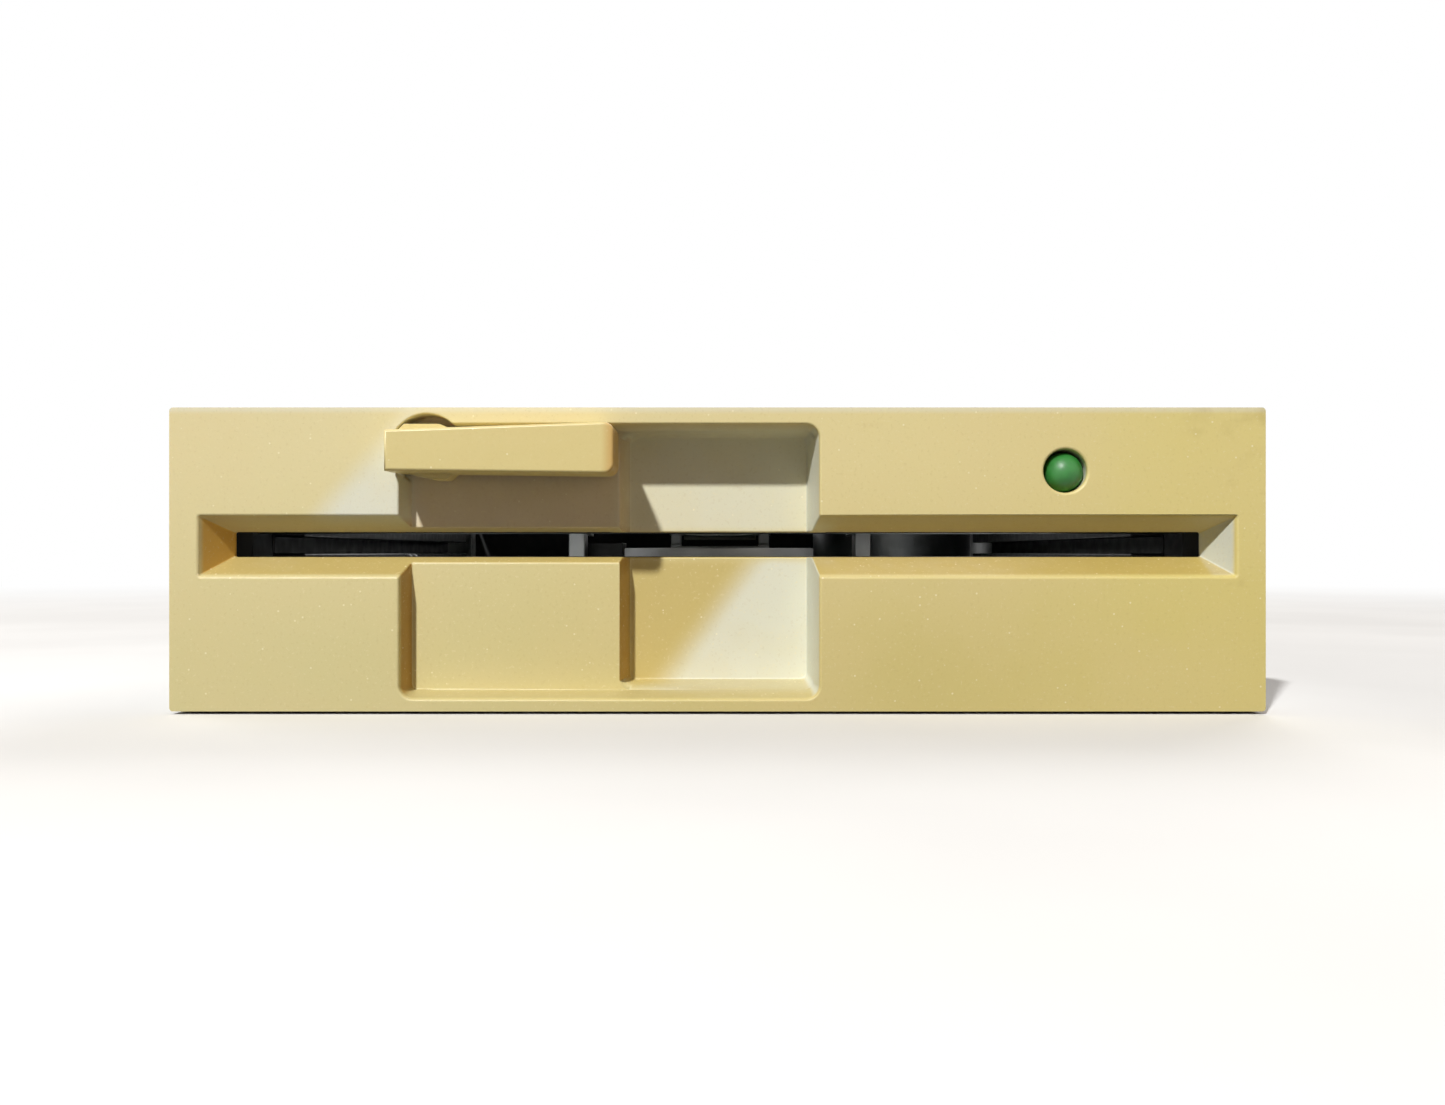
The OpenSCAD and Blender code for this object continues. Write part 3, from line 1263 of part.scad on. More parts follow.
module power_connector() {
    color("#e4e0d4") in_frame() difference() {
        block(power_x - power_w / 2, power_x + power_w / 2, power_y1 - power_l, power_y1,
            rear_wall_h - power_h, rear_wall_h);
        block(power_x - power_w / 2 + power_wall, power_x + power_w / 2 - power_wall,
            power_y1 - power_l + power_floor,
            power_y1 + overrun, rear_wall_h - power_h + power_wall, rear_wall_h - power_wall);
        for (i = [-1.5 : 1 : 1.5])
            bar_y(power_x + i * power_pitch, rear_wall_h - power_h / 2, power_y1 - power_l - overrun,
            power_y1, power_pin_r);
    }
}
module power_pins() {
    color("#c3c6c8") in_frame() for (i = [-1.5 : 1 : 1.5]) {
        bar_y(power_x + i * power_pitch, rear_wall_h - power_h / 2, power_y1 - power_l - 2 * power_pin_r,
            power_y1 - power_floor, power_pin_r);
        post(power_x + i * power_pitch, power_y1 - power_l - power_pin_r - fit_gap,
            rear_wall_h - power_h / 2, rear_wall_h, power_pin_r - fit_gap * 0.5);
    }
}
crystal_at = [24, 172];
crystal_w = 4.4;
crystal_l = 11;
crystal_h = 3.5;
module crystal() {
    color("#c9ccce") in_frame()
        block(crystal_at[0] - crystal_w / 2, crystal_at[0] + crystal_w / 2, crystal_at[1] - 2,
        crystal_at[1] - 2 + crystal_l, board_z1, board_z1 + crystal_h);
}
// White wire-to-board headers: place, length across
headers = [[48, 107, 10], [-20, 107, 18], [2, 107, 13], [56, 128, 8]];
header_w = 5;
header_h = 3.4;
header_wall = 0.9;
module board_connectors() {
    color("#e9e6dc") in_frame() for (h = headers) difference() {
        block(h[0], h[0] + h[2], h[1], h[1] + header_w, board_z1, board_z1 + header_h);
        block(h[0] + header_wall, h[0] + h[2] - header_wall, h[1] + header_wall,
            h[1] + header_w - header_wall,
            board_z1 + header_wall * 2, board_z1 + header_h + overrun);
    }
}
tab_w = 4.8;
tab_t = 0.8;
tab_out = 6;
tab_end_y = body_d + tab_out;
module ground_tab() {
    color("#b9a25a") in_frame() {
        difference() {
            block(tab_screw_x - tab_w / 2, tab_screw_x + tab_w / 2, tab_screw_y - tab_w, tab_end_y,
                deck_top, deck_top + tab_t);
            post(tab_screw_x, tab_screw_y, deck_z, deck_top + overrun, tap_r + bore_gap);
            post(tab_screw_x, tab_end_y - tab_w / 2, deck_z, deck_top + overrun, tap_r / 2);
        }
        translate([tab_screw_x, tab_screw_y, deck_top + tab_t])
            pan_screw(tab_t + deck_t, cap_r = head_r * 0.85);
    }
}
// Two lamp wires, along the right wall and up over the board's front edge
wire_wall_gap = 10.825;
wire_x = wall_in - wire_wall_gap;
wire_z = 33;
wire_top = 39.9;
wire_gap = 0.7;
wire_y0 = 36;
wire_y1 = 96;
wire_bend = 3;
lead_straight = 8;
plug_x = 53;
plug_y = 109.5;
plug_floor_z = board_z1 + header_wall * 2;
module led_wires() {
    color("#b03428") in_frame() for (s = [-1, 1]) wire([
        [led_cx + s * led_leg_x, led_leg_y, led_cz],
        [led_cx + s * led_leg_x, led_leg_y + lead_straight, led_cz],
        [led_cx + wire_bend + s * led_leg_x, led_leg_y + lead_straight + wire_bend, led_cz],
        [wire_x - wire_bend / 2 + s * wire_gap, wire_y0 - wire_bend / 2, wire_z],
        [wire_x + s * wire_gap, wire_y0 + wire_bend, wire_z],
        [wire_x + s * wire_gap, wire_y1, wire_z],
        [plug_x + wire_bend / 2 + s * contact_pitch / 2, board_y0 - wire_bend, wire_top - wire_bend],
        [plug_x + s * contact_pitch / 2, board_y0, wire_top],
        [plug_x + s * contact_pitch / 2, plug_y - wire_bend / 2, wire_top],
        [plug_x + s * contact_pitch / 2, plug_y - wire_bend / 6, wire_top - wire_bend / 6],
        [plug_x + s * contact_pitch / 2, plug_y, wire_top - wire_bend / 3],
        [plug_x + s * contact_pitch / 2, plug_y, plug_floor_z]], wire_r);
}

bezel();
bezel_screws();
activity_led();
led_holder();
led_wires();
front_bridge();
bridge_screws();
shaft_bushes();
front_guide();
disk_guide_left();
disk_guide_right();
guide_screws();
chassis();
bearing_housing();
housing_screws();
spindle_bearings();
motor_board();
motor_coils();
motor_screws();
guide_rods();
rod_clamps();
rod_clamp_screws();
stepper_body();
stepper_screws();
track_zero_sensor();
index_sensor();
write_protect_sensor();
main_board();
board_screws();
edge_contacts();
integrated_circuits();
capacitors();
resistor_pack();
jumper_header();
power_connector();
power_pins();
crystal();
board_connectors();
ground_tab();
clamp_pins();
lever();
lever_shaft();
lever_cam();
shaft_ring();
clamp_arm();
clamp_post();
clamp_hub();
spindle_shaft();
drive_hub();
rotor();
rotor_magnet();
carriage();
carriage_bushes();
lower_head();
drive_band();
arm_pin();
head_arm();
upper_head();
capstan();
stepper_shaft();
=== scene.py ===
"""Half-height 5.25-inch floppy disk drive: finishes, small parts, camera and light."""
import json
import math

import bmesh
import bpy
import numpy as np
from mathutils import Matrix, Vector
from mathutils.geometry import intersect_line_line_2d, tessellate_polygon


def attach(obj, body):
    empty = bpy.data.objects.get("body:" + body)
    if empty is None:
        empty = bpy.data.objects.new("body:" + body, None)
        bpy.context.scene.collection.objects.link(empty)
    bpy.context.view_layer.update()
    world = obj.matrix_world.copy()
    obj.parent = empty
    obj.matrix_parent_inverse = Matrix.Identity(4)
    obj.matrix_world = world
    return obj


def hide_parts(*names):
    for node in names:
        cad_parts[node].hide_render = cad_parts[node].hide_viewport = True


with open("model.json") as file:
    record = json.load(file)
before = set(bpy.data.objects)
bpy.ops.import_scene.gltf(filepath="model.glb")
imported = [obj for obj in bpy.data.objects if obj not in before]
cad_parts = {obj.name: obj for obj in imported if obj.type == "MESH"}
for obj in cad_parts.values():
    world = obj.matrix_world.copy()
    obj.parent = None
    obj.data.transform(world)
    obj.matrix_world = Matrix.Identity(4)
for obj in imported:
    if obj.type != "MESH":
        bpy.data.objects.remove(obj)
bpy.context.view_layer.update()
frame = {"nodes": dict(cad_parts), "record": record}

MM = 0.001
NODES = frame["nodes"]
BODY_OF = {node: body for body, nodes in frame["record"]["behaviour"]["bodies"].items() for node in nodes}
FACE_DEPTH = 92.3  # the origin lies this far behind the bezel's front face, mm


def at(x, depth, z):
    """A place in metres, from millimetres with the depth counted back from the bezel's face."""
    return Vector((x * MM, (depth - FACE_DEPTH) * MM, z * MM))


# Colours and shader nodes


def colour(hex_code):
    """sRGB hex to the linear colour that the shaders take, opaque."""
    parts = [int(hex_code[i:i + 2], 16) / 255 for i in (1, 3, 5)]
    return tuple(c / 12.92 if c <= 0.04045 else ((c + 0.055) / 1.055) ** 2.4 for c in parts) + (1.0,)


def add(tree, kind, links=None, **settings):
    """One node: links maps an input to a socket or a value, settings are the node's own properties."""
    node = tree.nodes.new(kind)
    for name, value in settings.items():
        setattr(node, name, value)
    for key, value in (links or {}).items():
        socket = node.inputs[key]
        if isinstance(value, bpy.types.NodeSocket):
            tree.links.new(value, socket)
        else:
            socket.default_value = value
    return node


def multiply(tree, *values):
    """The product of sockets or numbers; for masks it is where they overlap."""
    total = values[0]
    for value in values[1:]:
        total = add(tree, "ShaderNodeMath", {0: total, 1: value}, operation="MULTIPLY").outputs["Value"]
    return total


class Finish:
    """A material under construction: a principled shader fed by Object coordinates."""

    def __init__(self, name, **sockets):
        self.mat = bpy.data.materials.new(name)
        self.mat.use_nodes = True
        self.tree = self.mat.node_tree
        self.shader = self.tree.nodes["Principled BSDF"]
        self.where = self.add("ShaderNodeTexCoord").outputs["Object"]
        self.normal = None
        self.set(**sockets)

    def add(self, kind, links=None, **settings):
        return add(self.tree, kind, links, **settings)

    def calc(self, operation, a, b):
        return self.add("ShaderNodeMath", {0: a, 1: b}, operation=operation).outputs["Value"]

    def times(self, *values):
        return multiply(self.tree, *values)

    def axes(self, vector=None):
        """The x, y and z sockets of a vector, of the Object coordinates when none is given."""
        return self.add("ShaderNodeSeparateXYZ", {0: vector or self.where}).outputs

    def first_random(self, cells):
        """One random number for each cell of a Voronoi texture."""
        return self.add("ShaderNodeSeparateColor", {0: cells.outputs["Color"]}).outputs[0]

    def noise(self, size_mm, detail=2.0, roughness=0.5, stretch=(1, 1, 1)):
        """Noise whose lumps are size_mm across; stretch makes them longer along an axis."""
        place = self.add("ShaderNodeMapping", {"Vector": self.where, "Scale": tuple(1 / s for s in stretch)})
        return self.add("ShaderNodeTexNoise", {
            "Vector": place.outputs["Vector"], "Scale": 1 / (size_mm * MM),
            "Detail": detail, "Roughness": roughness}).outputs["Fac"]

    def band(self, value, low, high, out_low=0.0, out_high=1.0):
        """value from low..high mapped smoothly to out_low..out_high; low past high turns it round."""
        return self.add("ShaderNodeMapRange", {
            "Value": value, "From Min": low, "From Max": high, "To Min": out_low, "To Max": out_high},
            interpolation_type="SMOOTHSTEP").outputs["Result"]

    def span(self, axis, low_mm, high_mm, full=1.0):
        """Mask that grows to full between two places on an axis; low past high makes it fade out."""
        return self.band(axis, low_mm * MM, high_mm * MM, 0.0, full)

    def mix(self, factor, a, b):
        """Colour b over colour a."""
        return self.add("ShaderNodeMix", {"Factor": factor, 6: a, 7: b}, data_type="RGBA").outputs[2]

    def bump(self, height, depth_mm, strength=1.0):
        links = {"Height": height, "Distance": depth_mm * MM, "Strength": strength}
        if self.normal:
            links["Normal"] = self.normal
        self.normal = self.add("ShaderNodeBump", links).outputs["Normal"]
        return self

    def set(self, **sockets):
        """Give the shader's inputs a value or a socket; an underscore stands for a space in the name."""
        for name, value in sockets.items():
            socket = self.shader.inputs[name.replace("_", " ")]
            if isinstance(value, bpy.types.NodeSocket):
                self.tree.links.new(value, socket)
            else:
                socket.default_value = value
        return self

    def done(self):
        if self.normal:
            self.tree.links.new(self.normal, self.shader.inputs["Normal"])
        return self.mat


# Finishes


def aged_abs(name, rough, marks, dust_and_sparkle, grime):
    """ABS moulded in a spark-eroded tool and yellowed by light: warm, faintly mottled, with a fine sparkle
    painted in as pale grains, a painted highlight.

    marks lays the piece's own stains, and painted light and shade, over the colour; dust_and_sparkle and
    grime say how strongly the grain shows."""
    f = Finish(name, IOR=1.53)
    x, y, z = f.axes()
    # cream on the left, more yellow towards the right end, duller along the lower edge
    low = f.mix(f.span(x, -60, 20), colour("#d6cb93"), colour("#d1c17c"))
    high = f.mix(f.span(x, -40, 30), colour("#dfd29e"), colour("#e1d296"))
    base = f.mix(f.span(z, 6, 36), low, high)
    base = f.mix(f.span(x, 25, 70, 0.7), base, colour("#dccc7c"))
    cloud = f.noise(24, 3)
    base = f.mix(f.band(cloud, 0.35, 0.65, 0, 0.25), base, colour("#e0cd98"))
    base = marks(f, base, x, y, z)
    # fine speckle: the tool's texture catches more or less dust; its pale flecks also serve as a painted
    # sparkle
    speck = f.noise(0.45, 2, 0.6)
    base = f.mix(f.band(speck, 0.60, 0.75, 0, dust_and_sparkle), base, colour("#ece0b4"))
    base = f.mix(f.band(speck, 0.42, 0.30, 0, grime), base, colour("#b39c5c"))
    # one grain in six is painted near-white, a painted glint; the cells are 1.1 mm, coarser than the real
    # grain, so that they show
    cells = f.add("ShaderNodeTexVoronoi", {"Vector": f.where, "Scale": 1 / (1.1 * MM)})
    chosen = f.calc("GREATER_THAN", f.first_random(cells), 0.84)
    grain = f.times(f.band(cells.outputs["Distance"], 0.16, 0.07), chosen)
    base = f.mix(f.times(grain, 0.55), base, colour("#fbf3d2"))
    stain = f.noise(7, 4, 0.65)
    base = f.mix(f.band(stain, 0.66, 0.80, 0, 0.18), base, colour("#a98c4a"))
    level = f.band(f.noise(1.6, 3), 0.3, 0.7, rough - 0.05, rough + 0.07)
    f.set(Base_Color=base, Roughness=level, Subsurface_Weight=0.06, Subsurface_Radius=(0.9, 0.6, 0.3),
          Subsurface_Scale=0.0012)
    # the tool's grain, and a slow waviness of the moulding
    f.bump(f.noise(0.32, 2, 0.7), 0.018, 0.55).bump(f.noise(12, 2), 0.05, 0.25)
    return f.done()


def yellower_with_painted_end_shade(f, base, x, y, z):
    """The lever is a shade more yellow than the bezel, and its right end is painted orange: painted shade on
    the end that faces away from the key light.
    """
    base = f.mix(0.55, base, colour("#d9c57a"))
    return f.mix(f.span(x, -15.5, -13.8, 0.6), base, colour("#c08a34"))


def unfaded_and_painted_light(f, base, x, y, z):
    """Areas of the bezel that the lever or a finger kept from the light stayed pale, with soft slanting
    edges; the walls of its openings get painted light and shade by the way they face, with a painted shadow
    tint under the lever and a painted highlight along the top edge."""

    def depth(low, high, full=1.0):
        """Mask that grows to full between two depths behind the bezel's face, in mm."""
        return f.span(y, low - FACE_DEPTH, high - FACE_DEPTH, full)

    def slant(per_x, per_z, shift, low, high):
        """Soft edge along the line where per_x x + per_z z + shift is between low and high, in mm."""
        reach = f.calc("ADD", f.times(x, per_x / MM), f.times(z, per_z / MM))
        return f.band(f.calc("ADD", reach, shift), low, high)

    normal = f.axes(f.add("ShaderNodeTexCoord").outputs["Normal"])
    sunk = depth(0.3, 1.1)
    # painted shade by facing: sunk faces that look down, away from the key light, are greyed, and those that
    # look right, away from it too, are painted a darker, saturated brown for their shade and bounce; that
    # brown is palest at the slot's left end
    downward = f.times(f.band(normal[2], -0.35, -0.85), sunk)
    base = f.mix(f.times(downward, 0.6), base, colour("#d9cfae"))
    to_right = f.times(f.band(normal[0], 0.35, 0.85), sunk)
    right_facing_shade = f.mix(f.span(x, -62, -58), colour("#dcae4c"), colour("#b48830"))
    base = f.mix(f.times(to_right, 0.9), base, right_facing_shade)

    # the face left of the lever, widest at the slot's edge
    wedge = f.times(slant(1, -0.9, 78.5, -2.5, 3.5), f.span(x, -39.5, -43.0), f.span(z, 24.7, 26.7))
    # the right part of the deep notch, below and above the slot
    notch_right = f.span(x, 17.0, 15.0)
    notch_low = f.times(slant(1, -0.75, 11.0, -3.0, 4.0), notch_right, f.span(z, 21.5, 19.5), depth(1.8, 5.8))
    notch_high = f.times(f.span(x, -16.0, -11.5), notch_right, f.span(z, 23.5, 25.5), depth(0.8, 4.8, 0.75))
    # the slot's right end, but not the slope above it
    slot_end = f.times(f.span(x, 66.8, 67.8), f.span(x, 71.5, 70.8), sunk, f.band(normal[2], -0.6, -0.2))
    uneven = f.times(f.band(f.noise(9, 3), 0.2, 0.8, 0.8, 1.1), depth(9.0, 8.7))
    for mask in (wedge, notch_low, notch_high, slot_end):
        base = f.mix(f.times(mask, uneven), base, colour("#e0dfca"))

    # the shallow floor under the lever: paler and slightly pink, the pink being painted shade, the tint of
    # the lever's shadow there
    under = f.times(f.span(x, -43.5, -41.5), f.span(x, -10, -17), f.span(z, 23, 26))
    base = f.mix(f.times(under, depth(2.3, 3.5, 0.6), depth(4.5, 4.2)), base, colour("#e0cdb6"))

    # painted light by facing: walls that look up into the key light are painted a duller yellow, and those
    # that look left, towards it, are painted grey-white
    upward = f.times(f.band(normal[2], 0.35, 0.85), sunk)
    lower_wall = f.mix(f.span(z, 11, 13), colour("#b9aa72"), colour("#b59c4c"))
    base = f.mix(f.times(upward, 0.7), base, lower_wall)
    to_left = f.times(f.band(normal[0], -0.35, -0.85), sunk)
    base = f.mix(f.times(to_left, 0.85), base, colour("#d2d5c6"))

    # the floor of the notch keeps a warmer yellow on its lower left
    warm = f.times(f.span(x, -13.5, -11.5), slant(-1, 0.75, -11.0, -4.0, 3.0), f.span(z, 21.5, 19.5))
    base = f.mix(f.times(warm, depth(5.3, 7.8), 0.75), base, colour("#c5b068"))
    # painted highlight: a paler rim along the top edge, where its rounding catches the light
    base = f.mix(f.span(z, 40.2, 41.0, 0.6), base, colour("#e2dfc8"))
    # brown smudge in the upper right corner, where it was handled
    smudge = f.times(f.span(x, 58, 70), f.span(z, 30, 39), f.band(f.noise(6, 3, 0.6), 0.42, 0.7, 0, 0.35))
    return f.mix(smudge, base, colour("#a08a3e"))


def smooth_plastic(name, hex_code, rough=0.42, grain_mm=0.5, grain_depth=0.006, worn="#ffffff", wear=0.06):
    """Moulded plastic: one colour with faint flow marks, fine grain and paler rubbed spots."""
    f = Finish(name, IOR=1.49)
    base = f.mix(f.band(f.noise(6, 3), 0.55, 0.8, 0, wear), colour(hex_code), colour(worn))
    base = f.mix(f.band(f.noise(1.1, 3), 0.5, 0.75, 0, wear * 0.8), base, colour("#000000"))
    f.set(Base_Color=base, Roughness=f.band(f.noise(2.5, 3), 0.3, 0.7, rough - 0.06, rough + 0.08))
    return f.bump(f.noise(grain_mm, 2), grain_depth, 0.5).done()


def metal(name, hex_code, dark, rough, streak=None, pit_mm=0.0, pit_depth=0.0, spots=0.12):
    """Bare or plated metal: rolling or turning streaks, cast pitting, dull patches.

    streak stretches the streaks along an axis, and spots is how strongly small tarnished spots show."""
    f = Finish(name, Metallic=1.0)
    base = f.mix(f.band(f.noise(9, 4), 0.25, 0.75), colour(hex_code), colour(dark))
    base = f.mix(f.band(f.noise(1.3, 3, 0.7), 0.62, 0.8, 0, spots), base, colour("#6a665e"))
    level = f.band(f.noise(4, 3), 0.3, 0.7, rough - 0.03, rough + 0.05)
    if streak:
        lines = f.noise(0.16, 2, 0.6, stretch=streak)
        level = f.calc("ADD", level, f.band(lines, 0.35, 0.65, -0.06, 0.08))
        f.bump(lines, 0.004, 0.5)
    if pit_mm:
        f.bump(f.noise(pit_mm, 3, 0.6), pit_depth, 0.7)
    return f.set(Base_Color=base, Roughness=level).done()


def circuit_board(name, hex_code, track_hex):
    """Glass-fibre board under green solder mask: copper tracks show as paler raised lines, in blocks
    that run one way or the other, and the glass cloth shows as a faint weave."""
    half_pitch, block = 1.27 * MM, 11 * MM
    f = Finish(name, IOR=1.5)
    cells = f.add("ShaderNodeTexVoronoi", {"Vector": f.where, "Scale": 1 / block, "Randomness": 0.9},
                  distance="CHEBYCHEV")
    draw = f.first_random(cells)
    runs = []
    # tracks spaced along x where the block's draw is low, along y where it is middling, none above that
    for axis, low, high in zip(f.axes(), (0.0, 0.42), (0.42, 0.84)):
        # runs from 0 to 2 and back, and is 1 in the middle of each track
        ruled = f.calc("PINGPONG", f.times(axis, 1 / half_pitch), 2.0)
        from_track = f.calc("ABSOLUTE", f.calc("SUBTRACT", ruled, 1.0), 0.0)
        inside = f.times(f.calc("GREATER_THAN", draw, low), f.calc("LESS_THAN", draw, high))
        runs.append(f.times(f.band(from_track, 0.42, 0.30), inside))
    tracks = f.calc("MAXIMUM", *runs)
    weave = f.noise(0.7, 2)
    base = f.mix(f.band(weave, 0.3, 0.7, 0, 0.25), colour(hex_code), colour("#143f25"))
    base = f.mix(f.times(tracks, 0.75), base, colour(track_hex))
    base = f.mix(f.band(f.noise(16, 2), 0.3, 0.7, 0, 0.2), base, colour("#3b6b3a"))
    f.set(Base_Color=base, Roughness=f.band(f.noise(3, 3), 0.3, 0.7, 0.28, 0.42),
          Coat_Weight=0.25, Coat_Roughness=0.2)
    return f.bump(tracks, 0.035, 0.6).bump(weave, 0.008, 0.3).done()


def lamp_epoxy(name):
    """Diffused green epoxy of a 5 mm lamp: translucent, milky, satin dome."""
    f = Finish(name, IOR=1.54, Specular_IOR_Level=0.6, Subsurface_Weight=0.5,
               Subsurface_Radius=(0.3, 1.0, 0.35), Subsurface_Scale=0.002)
    base = f.mix(f.band(f.noise(1.8, 2), 0.3, 0.7), colour("#27782e"), colour("#35893b"))
    f.set(Base_Color=base, Roughness=f.band(f.noise(0.9, 2), 0.3, 0.7, 0.40, 0.50))
    return f.bump(f.noise(0.3, 2), 0.012, 0.4).done()


def enamel_wire(name):
    """Enamelled copper winding: fine ridges of wire, under clear varnish."""
    f = Finish(name, Metallic=0.85, Coat_Weight=0.6)
    base = f.mix(f.band(f.noise(0.5, 2), 0.3, 0.7), colour("#a4532a"), colour("#c9743c"))
    f.set(Base_Color=base, Roughness=f.band(f.noise(1, 2), 0.3, 0.7, 0.3, 0.45))
    return f.bump(f.noise(0.22, 1), 0.03, 0.5).done()


FINISH = {
    # the lever is rubbed smoother than the bezel, so its grain shows less
    "bezel": aged_abs("yellowed_abs_bezel", 0.50, marks=unfaded_and_painted_light, dust_and_sparkle=0.35, grime=0.12),
    "lever": aged_abs("yellowed_abs_lever", 0.40, marks=yellower_with_painted_end_shade, dust_and_sparkle=0.12, grime=0.06),
    # satin black mouldings, greyed by dust where they are rubbed
    "black": smooth_plastic("black_moulded_plastic", "#191a1b", rough=0.45, worn="#6a6a68", wear=0.10),
    # the moulding compound of chips is duller and coarser than the other black parts
    "chip": smooth_plastic("black_chip_epoxy", "#1b1b1c", rough=0.55, grain_mm=0.25, grain_depth=0.010,
                           worn="#3a3937", wear=0.12),
    # nylon in its own colour, a warm and slightly waxy white
    "white": smooth_plastic("natural_nylon", "#e2decf", rough=0.38, worn="#f6f2e4", wear=0.3),
    # even and smooth, as it comes out of the die
    "red_wire": smooth_plastic("red_pvc_wire", "#a82c22", rough=0.40),
    # film shrunk tight over a metal can, the glossiest plastic here
    "blue_sleeve": smooth_plastic("blue_shrink_sleeve", "#23406f", rough=0.28),
    # thick glossy skins of resin, uneven in colour where they were dipped
    "ceramic": smooth_plastic("dipped_ceramic_capacitor", "#b8893e", rough=0.35, worn="#d6b06a", wear=0.3),
    "resistor": smooth_plastic("dipped_resistor_resin", "#7c2c20", rough=0.35),
    # pressed fibre, matt and lightly felted
    "card": smooth_plastic("black_fibre_card", "#141415", rough=0.62, grain_mm=0.35, grain_depth=0.015,
                           worn="#2c2b2a", wear=0.3),
    # baked powder, ground flat: dark grey with fine pits
    "ferrite": smooth_plastic("sintered_ferrite", "#3a3a3c", rough=0.50, grain_mm=0.3, grain_depth=0.012,
                              worn="#6c6a68", wear=0.3),
    # the casting is pale and matt, with small pits
    "cast": metal("cast_aluminium", "#c2c3c2", "#b3b4b4", rough=0.50, pit_mm=0.5, pit_depth=0.012),
    # the sheet keeps its rolling lines under thin zinc
    "sheet": metal("zinc_plated_sheet", "#b4b5b1", "#a7a8a1", rough=0.36, streak=(1, 14, 1), spots=0.05),
    # small plated heads, bright, with a yellowish bloom
    "screw": metal("zinc_plated_screw", "#c6c5bc", "#a09d8c", rough=0.28),
    # ground pins and shafts shine most
    "steel": metal("ground_steel", "#cfd1d3", "#b3b6b8", rough=0.18, streak=(1, 1, 1)),
    # warm yellow metal, clean where it was turned and dull between
    "brass": metal("turned_brass", "#c6a45c", "#a98745", rough=0.28),
    # thin gold on smooth copper, even and warm
    "gold": metal("gold_plated_contact", "#d8b255", "#c39a3e", rough=0.24),
    # drawn steel under dull plating, with faint lines along the can
    "can": metal("plated_motor_can", "#8f9294", "#7b7e80", rough=0.36, streak=(1, 1, 12)),
    "board": circuit_board("green_solder_mask", "#1b5430", "#3d8a4c"),
    "lamp": lamp_epoxy("green_lamp_epoxy"),
    "coil": enamel_wire("enamelled_copper"),
}

# node: finish, rounding of its edges in mm; with 0 the CAD node itself takes the finish
DRESS = {
    "bezel": ("bezel", 1.10), "lever": ("lever", 0.40), "chassis": ("cast", 0.35), "carriage": ("cast", 0.25),
    "front_bridge": ("sheet", 0), "clamp_arm": ("sheet", 0.12), "head_arm": ("sheet", 0.12),
    "rod_clamps": ("sheet", 0.10), "shaft_ring": ("sheet", 0), "rotor": ("sheet", 0.15),
    "front_guide": ("black", 0.25), "disk_guide_left": ("black", 0.25), "disk_guide_right": ("black", 0.25),
    "led_holder": ("black", 0.15), "track_zero_sensor": ("black", 0.2), "index_sensor": ("black", 0.15),
    "write_protect_sensor": ("black", 0.2), "integrated_circuits": ("chip", 0.12),
    "jumper_header": ("black", 0.08),
    "shaft_bushes": ("white", 0.12), "lever_cam": ("white", 0.15), "power_connector": ("white", 0.2),
    "board_connectors": ("white", 0.12), "clamp_hub": ("white", 0.15), "activity_led": ("lamp", 0),
    "led_wires": ("red_wire", 0), "bezel_screws": ("screw", 0.06), "bridge_screws": ("screw", 0.08),
    "guide_screws": ("screw", 0.08), "housing_screws": ("screw", 0.05), "motor_screws": ("screw", 0.08),
    "rod_clamp_screws": ("screw", 0.06), "stepper_screws": ("screw", 0.08), "board_screws": ("screw", 0.08),
    "clamp_pins": ("steel", 0.15), "clamp_post": ("steel", 0.15), "arm_pin": ("steel", 0.15),
    "guide_rods": ("steel", 0.2), "lever_shaft": ("steel", 0.2), "spindle_shaft": ("steel", 0.2),
    "stepper_shaft": ("steel", 0.2), "spindle_bearings": ("steel", 0.1), "drive_band": ("steel", 0),
    "crystal": ("steel", 0.6), "power_pins": ("screw", 0), "drive_hub": ("cast", 0.2), "capstan": ("cast", 0),
    "bearing_housing": ("brass", 0.15), "carriage_bushes": ("brass", 0.1), "ground_tab": ("screw", 0),
    "edge_contacts": ("gold", 0), "main_board": ("board", 0.08), "motor_board": ("board", 0.08),
    "motor_coils": ("coil", 0.4), "rotor_magnet": ("ferrite", 0.2), "lower_head": ("ferrite", 0.12),
    "upper_head": ("ferrite", 0.12), "stepper_body": ("can", 0.5), "capacitors": ("blue_sleeve", 0.3),
    "resistor_pack": ("resistor", 0.5),
}

# Forms


def evaluated_mesh(piece):
    """The piece's mesh as its modifiers leave it; the piece itself goes."""
    graph = bpy.context.evaluated_depsgraph_get()
    mesh = bpy.data.meshes.new_from_object(piece.evaluated_get(graph))
    bpy.data.objects.remove(piece)
    return mesh


def new_piece(name, mesh, body, finish, stands_for=(), smooth=0):
    """A dressed piece that rides on a body; edges sharper than smooth degrees stay sharp."""
    piece = bpy.data.objects.new(name, mesh)
    bpy.context.collection.objects.link(piece)
    mesh.materials.clear()
    mesh.materials.append(FINISH[finish])
    if smooth:
        mesh.shade_smooth()
        mesh.set_sharp_from_angle(angle=math.radians(smooth))
    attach(piece, body)
    if stands_for:
        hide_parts(*stands_for)
    return piece


def crossings(corners, normal):
    """Middles of the sides with which a flat outline crosses itself."""
    flat = normal.to_track_quat("Z", "Y").to_matrix().inverted()
    seen = [(flat @ c).to_2d() for c in corners]
    count = len(seen)
    for a in range(count):
        for b in range(a + 2, count - (a == 0)):
            if intersect_line_line_2d(seen[a], seen[a + 1], seen[b], seen[(b + 1) % count]):
                yield (corners[a] + corners[a + 1]) / 2
                yield (corners[b] + corners[(b + 1) % count]) / 2


